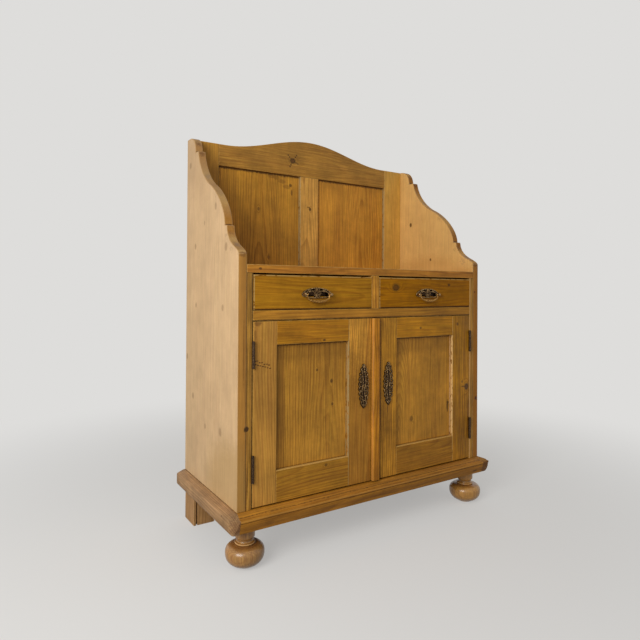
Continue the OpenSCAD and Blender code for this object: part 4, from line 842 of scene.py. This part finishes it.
brass = metal("hand_rubbed_and_glinting_brass", "#7A5220", "#CE9E56", 0.3, metallic=0.9)
rubbed_and_glinting_bronze = metal("rubbed_and_glinting_brass_ribs", "#46341E", "#CDA36C", 0.28, metallic=0.9, spot_mm=2.0)
shell_ribs = fan()
axis_z, axis_y = 809.0, -225.5
post_u, shell_v, arm_v = 49.0, 4.4, 9.0
rim_half, rim_up, rim_down, rim_r, rim_steps = 51.7, 20.2, 11.2, 1.75, 64
web_front, web_back, web_low = plate_y + 0.9, plate_y + 2.5, -5.5
boss_r, dome_r, dome_y, shell_r = 5.8, 4.4, -228.9, 13.4
bail_half, bail_drop, ball_r, pin_r, pin_long = 40.64, 22.5, 3.36, 1.9, 11
for side, pull_x in (("left", -240.75), ("right", 237.75)):
    mesh = bmesh.new()

    def at(u, v, y=plate_y, x=pull_x):
        """A point u beside and v above the bail's axis, on the plate's face."""
        return Vector((x + u, y, axis_z + v)) * mm

    turns = [2 * math.pi * k / rim_steps for k in range(rim_steps)]
    oval = [(rim_half * math.cos(a), (rim_up if a < math.pi else rim_down) * math.sin(a)) for a in turns]
    swept(mesh, [at(u, v) for u, v in oval], [rim_r * mm] * rim_steps, closed=True)
    web = []
    for y in (web_front, web_back):
        web.append([mesh.verts.new(at(u, max(v, web_low), y)) for u, v in oval])
        mesh.faces.new(web[-1])
    for k in range(rim_steps):
        mesh.faces.new((web[0][k - 1], web[0][k], web[1][k], web[1][k - 1]))
    for flip in (-1, 1):
        arm = [(9, arm_v + 1), (16, arm_v + 1.5), (24, arm_v + 2), (33, arm_v), (42, arm_v - 4),
               (47, arm_v - 7)]
        swept(mesh, [at(flip * u, v) for u, v in arm], [r * mm for r in (1.6, 1.8, 2.0, 1.7, 1.5, 1.3)])
        curl = [(math.radians(150 - 30 * k), 5.4 - 0.25 * k) for k in range(16)]
        swept(mesh, [at(flip * (27 + r * math.cos(a)), arm_v + 2.5 + r * math.sin(a)) for a, r in curl],
              [(1.7 - 0.03 * k) * mm for k in range(16)])
        boss = [(post_u + boss_r * math.cos(a), boss_r * math.sin(a)) for a in turns[::4]]
        swept(mesh, [at(flip * u, v) for u, v in boss], [1.7 * mm] * len(boss), closed=True)
        dome = Matrix.Translation(at(flip * post_u, 0, dome_y)) @ Matrix.Diagonal((1, 0.45, 1, 1))
        bmesh.ops.create_uvsphere(mesh, u_segments=20, v_segments=10, radius=dome_r * mm, matrix=dome)
    shell = Matrix.Translation(at(0, shell_v)) @ Matrix.Diagonal((1, 0.05, 1, 1))
    bmesh.ops.create_uvsphere(mesh, u_segments=28, v_segments=14, radius=shell_r * mm, matrix=shell)
    cast(side + "_drawer_pull_relief", mesh, bronze, side + "_drawer")
    ribs = grown(shell_ribs, Count=13, Start=4.5 * mm, Length=9.5 * mm, Thickness=1.5 * mm,
                 Place=at(0, shell_v, plate_y - 0.9), Material=rubbed_and_glinting_bronze)
    fitted(side + "_drawer_pull_shell", [ribs], side + "_drawer")

    bail = bmesh.new()
    halves = [interpolate_bezier(at(flip * bail_half, 0, axis_y), at(flip * 46, -17, axis_y),
                                 at(flip * 23, -bail_drop, axis_y), at(0, -bail_drop, axis_y), 21)
              for flip in (-1, 1)]
    sweep = halves[0] + halves[1][-2::-1]
    last = len(sweep) - 1
    swept(bail, sweep, [(2.2 + 2.4 * math.sin(math.pi * k / last) ** 2) * mm for k in range(last + 1)],
          proud=0.75, sides=12)
    for flip in (-1, 1):
        bmesh.ops.create_uvsphere(bail, u_segments=16, v_segments=10, radius=ball_r * mm,
                                  matrix=Matrix.Translation(at(flip * bail_half, 0, axis_y)))
        pin = [at(flip * bail_half, 0, axis_y), at(flip * (bail_half + pin_long), 0, axis_y)]
        swept(bail, pin, [pin_r * mm] * 2, sides=12)
    crescent = cast(side + "_drawer_bail_crescent", bail, brass, side + "_drawer_bail")
    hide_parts(side + "_drawer_bail")

covered(bronze, "left_drawer_pull", "right_drawer_pull", "left_door_escutcheon", "right_door_escutcheon")


# Floor and light
# A plain pale floor under an even sky, with a soft window on the left. Farther out the floor itself
# glows where it is looked at, until it can't be told from the pale background.
def looking(tree):
    """1 for the rays that look: straight from the camera, off a gloss or through glass."""
    rays = add(tree, "ShaderNodeLightPath").outputs
    seen = maths(tree, "MAXIMUM", rays["Is Camera Ray"], rays["Is Glossy Ray"])
    return maths(tree, "MAXIMUM", seen, rays["Is Transmission Ray"])


background, floor_r = "#DEDDDB", 40.0
glow_span = (0.7, 2.4)
mesh = bmesh.new()
bmesh.ops.create_circle(mesh, cap_ends=True, radius=floor_r, segments=96)
floor = placed("floor", finished("floor", mesh))
floor_material, tree = blank("pale_floor")
place = add(tree, "ShaderNodeTexCoord").outputs["Object"]
out = vectors(tree, "LENGTH", place)
far = mapped(tree, out, glow_span, interpolation_type="SMOOTHSTEP")
even = mapped(tree, far, (0.0, 1.0), 0.5, 1.0)
blend = maths(tree, "MULTIPLY", looking(tree), even)
from_camera = add(tree, "ShaderNodeLightPath").outputs["Is Camera Ray"]
floor_colour = mixed(tree, from_camera, "#9C9A96", "#E2E0DC")
plain = add(tree, "ShaderNodeBsdfDiffuse", {"Color": floor_colour})
glow = add(tree, "ShaderNodeEmission", {"Color": background, "Strength": 1.0})
surface = add(tree, "ShaderNodeMixShader", {0: blend, 1: plain, 2: glow})
add(tree, "ShaderNodeOutputMaterial", {"Surface": surface})
floor.data.materials.append(floor_material)

sky_strength = 0.38
world = bpy.data.worlds.new("studio")
bpy.context.scene.world = world
world.use_nodes = True
tree = world.node_tree
tree.nodes.clear()
sky = add(tree, "ShaderNodeBackground", {"Color": "#FFFFFF", "Strength": sky_strength})
shown = add(tree, "ShaderNodeBackground", {"Color": background, "Strength": 1.0})
surface = add(tree, "ShaderNodeMixShader", {0: looking(tree), 1: sky, 2: shown})
add(tree, "ShaderNodeOutputWorld", {"Surface": surface})

window_w, window_h, window_power = 1.8, 1.6, 80
window_place, aimed_at = Vector((-2.75, -1.55, 1.7)), Vector((0, 0, 0.7))
light = bpy.data.lights.new("window", "AREA")
light.shape = "RECTANGLE"
light.size, light.size_y = window_w, window_h
light.energy = window_power
window = placed("window", light)
window_turn = (aimed_at - window_place).to_track_quat("-Z", "Y")
window.matrix_world = Matrix.Translation(window_place) @ window_turn.to_matrix().to_4x4()

bpy.context.scene.view_settings.view_transform = "Standard"
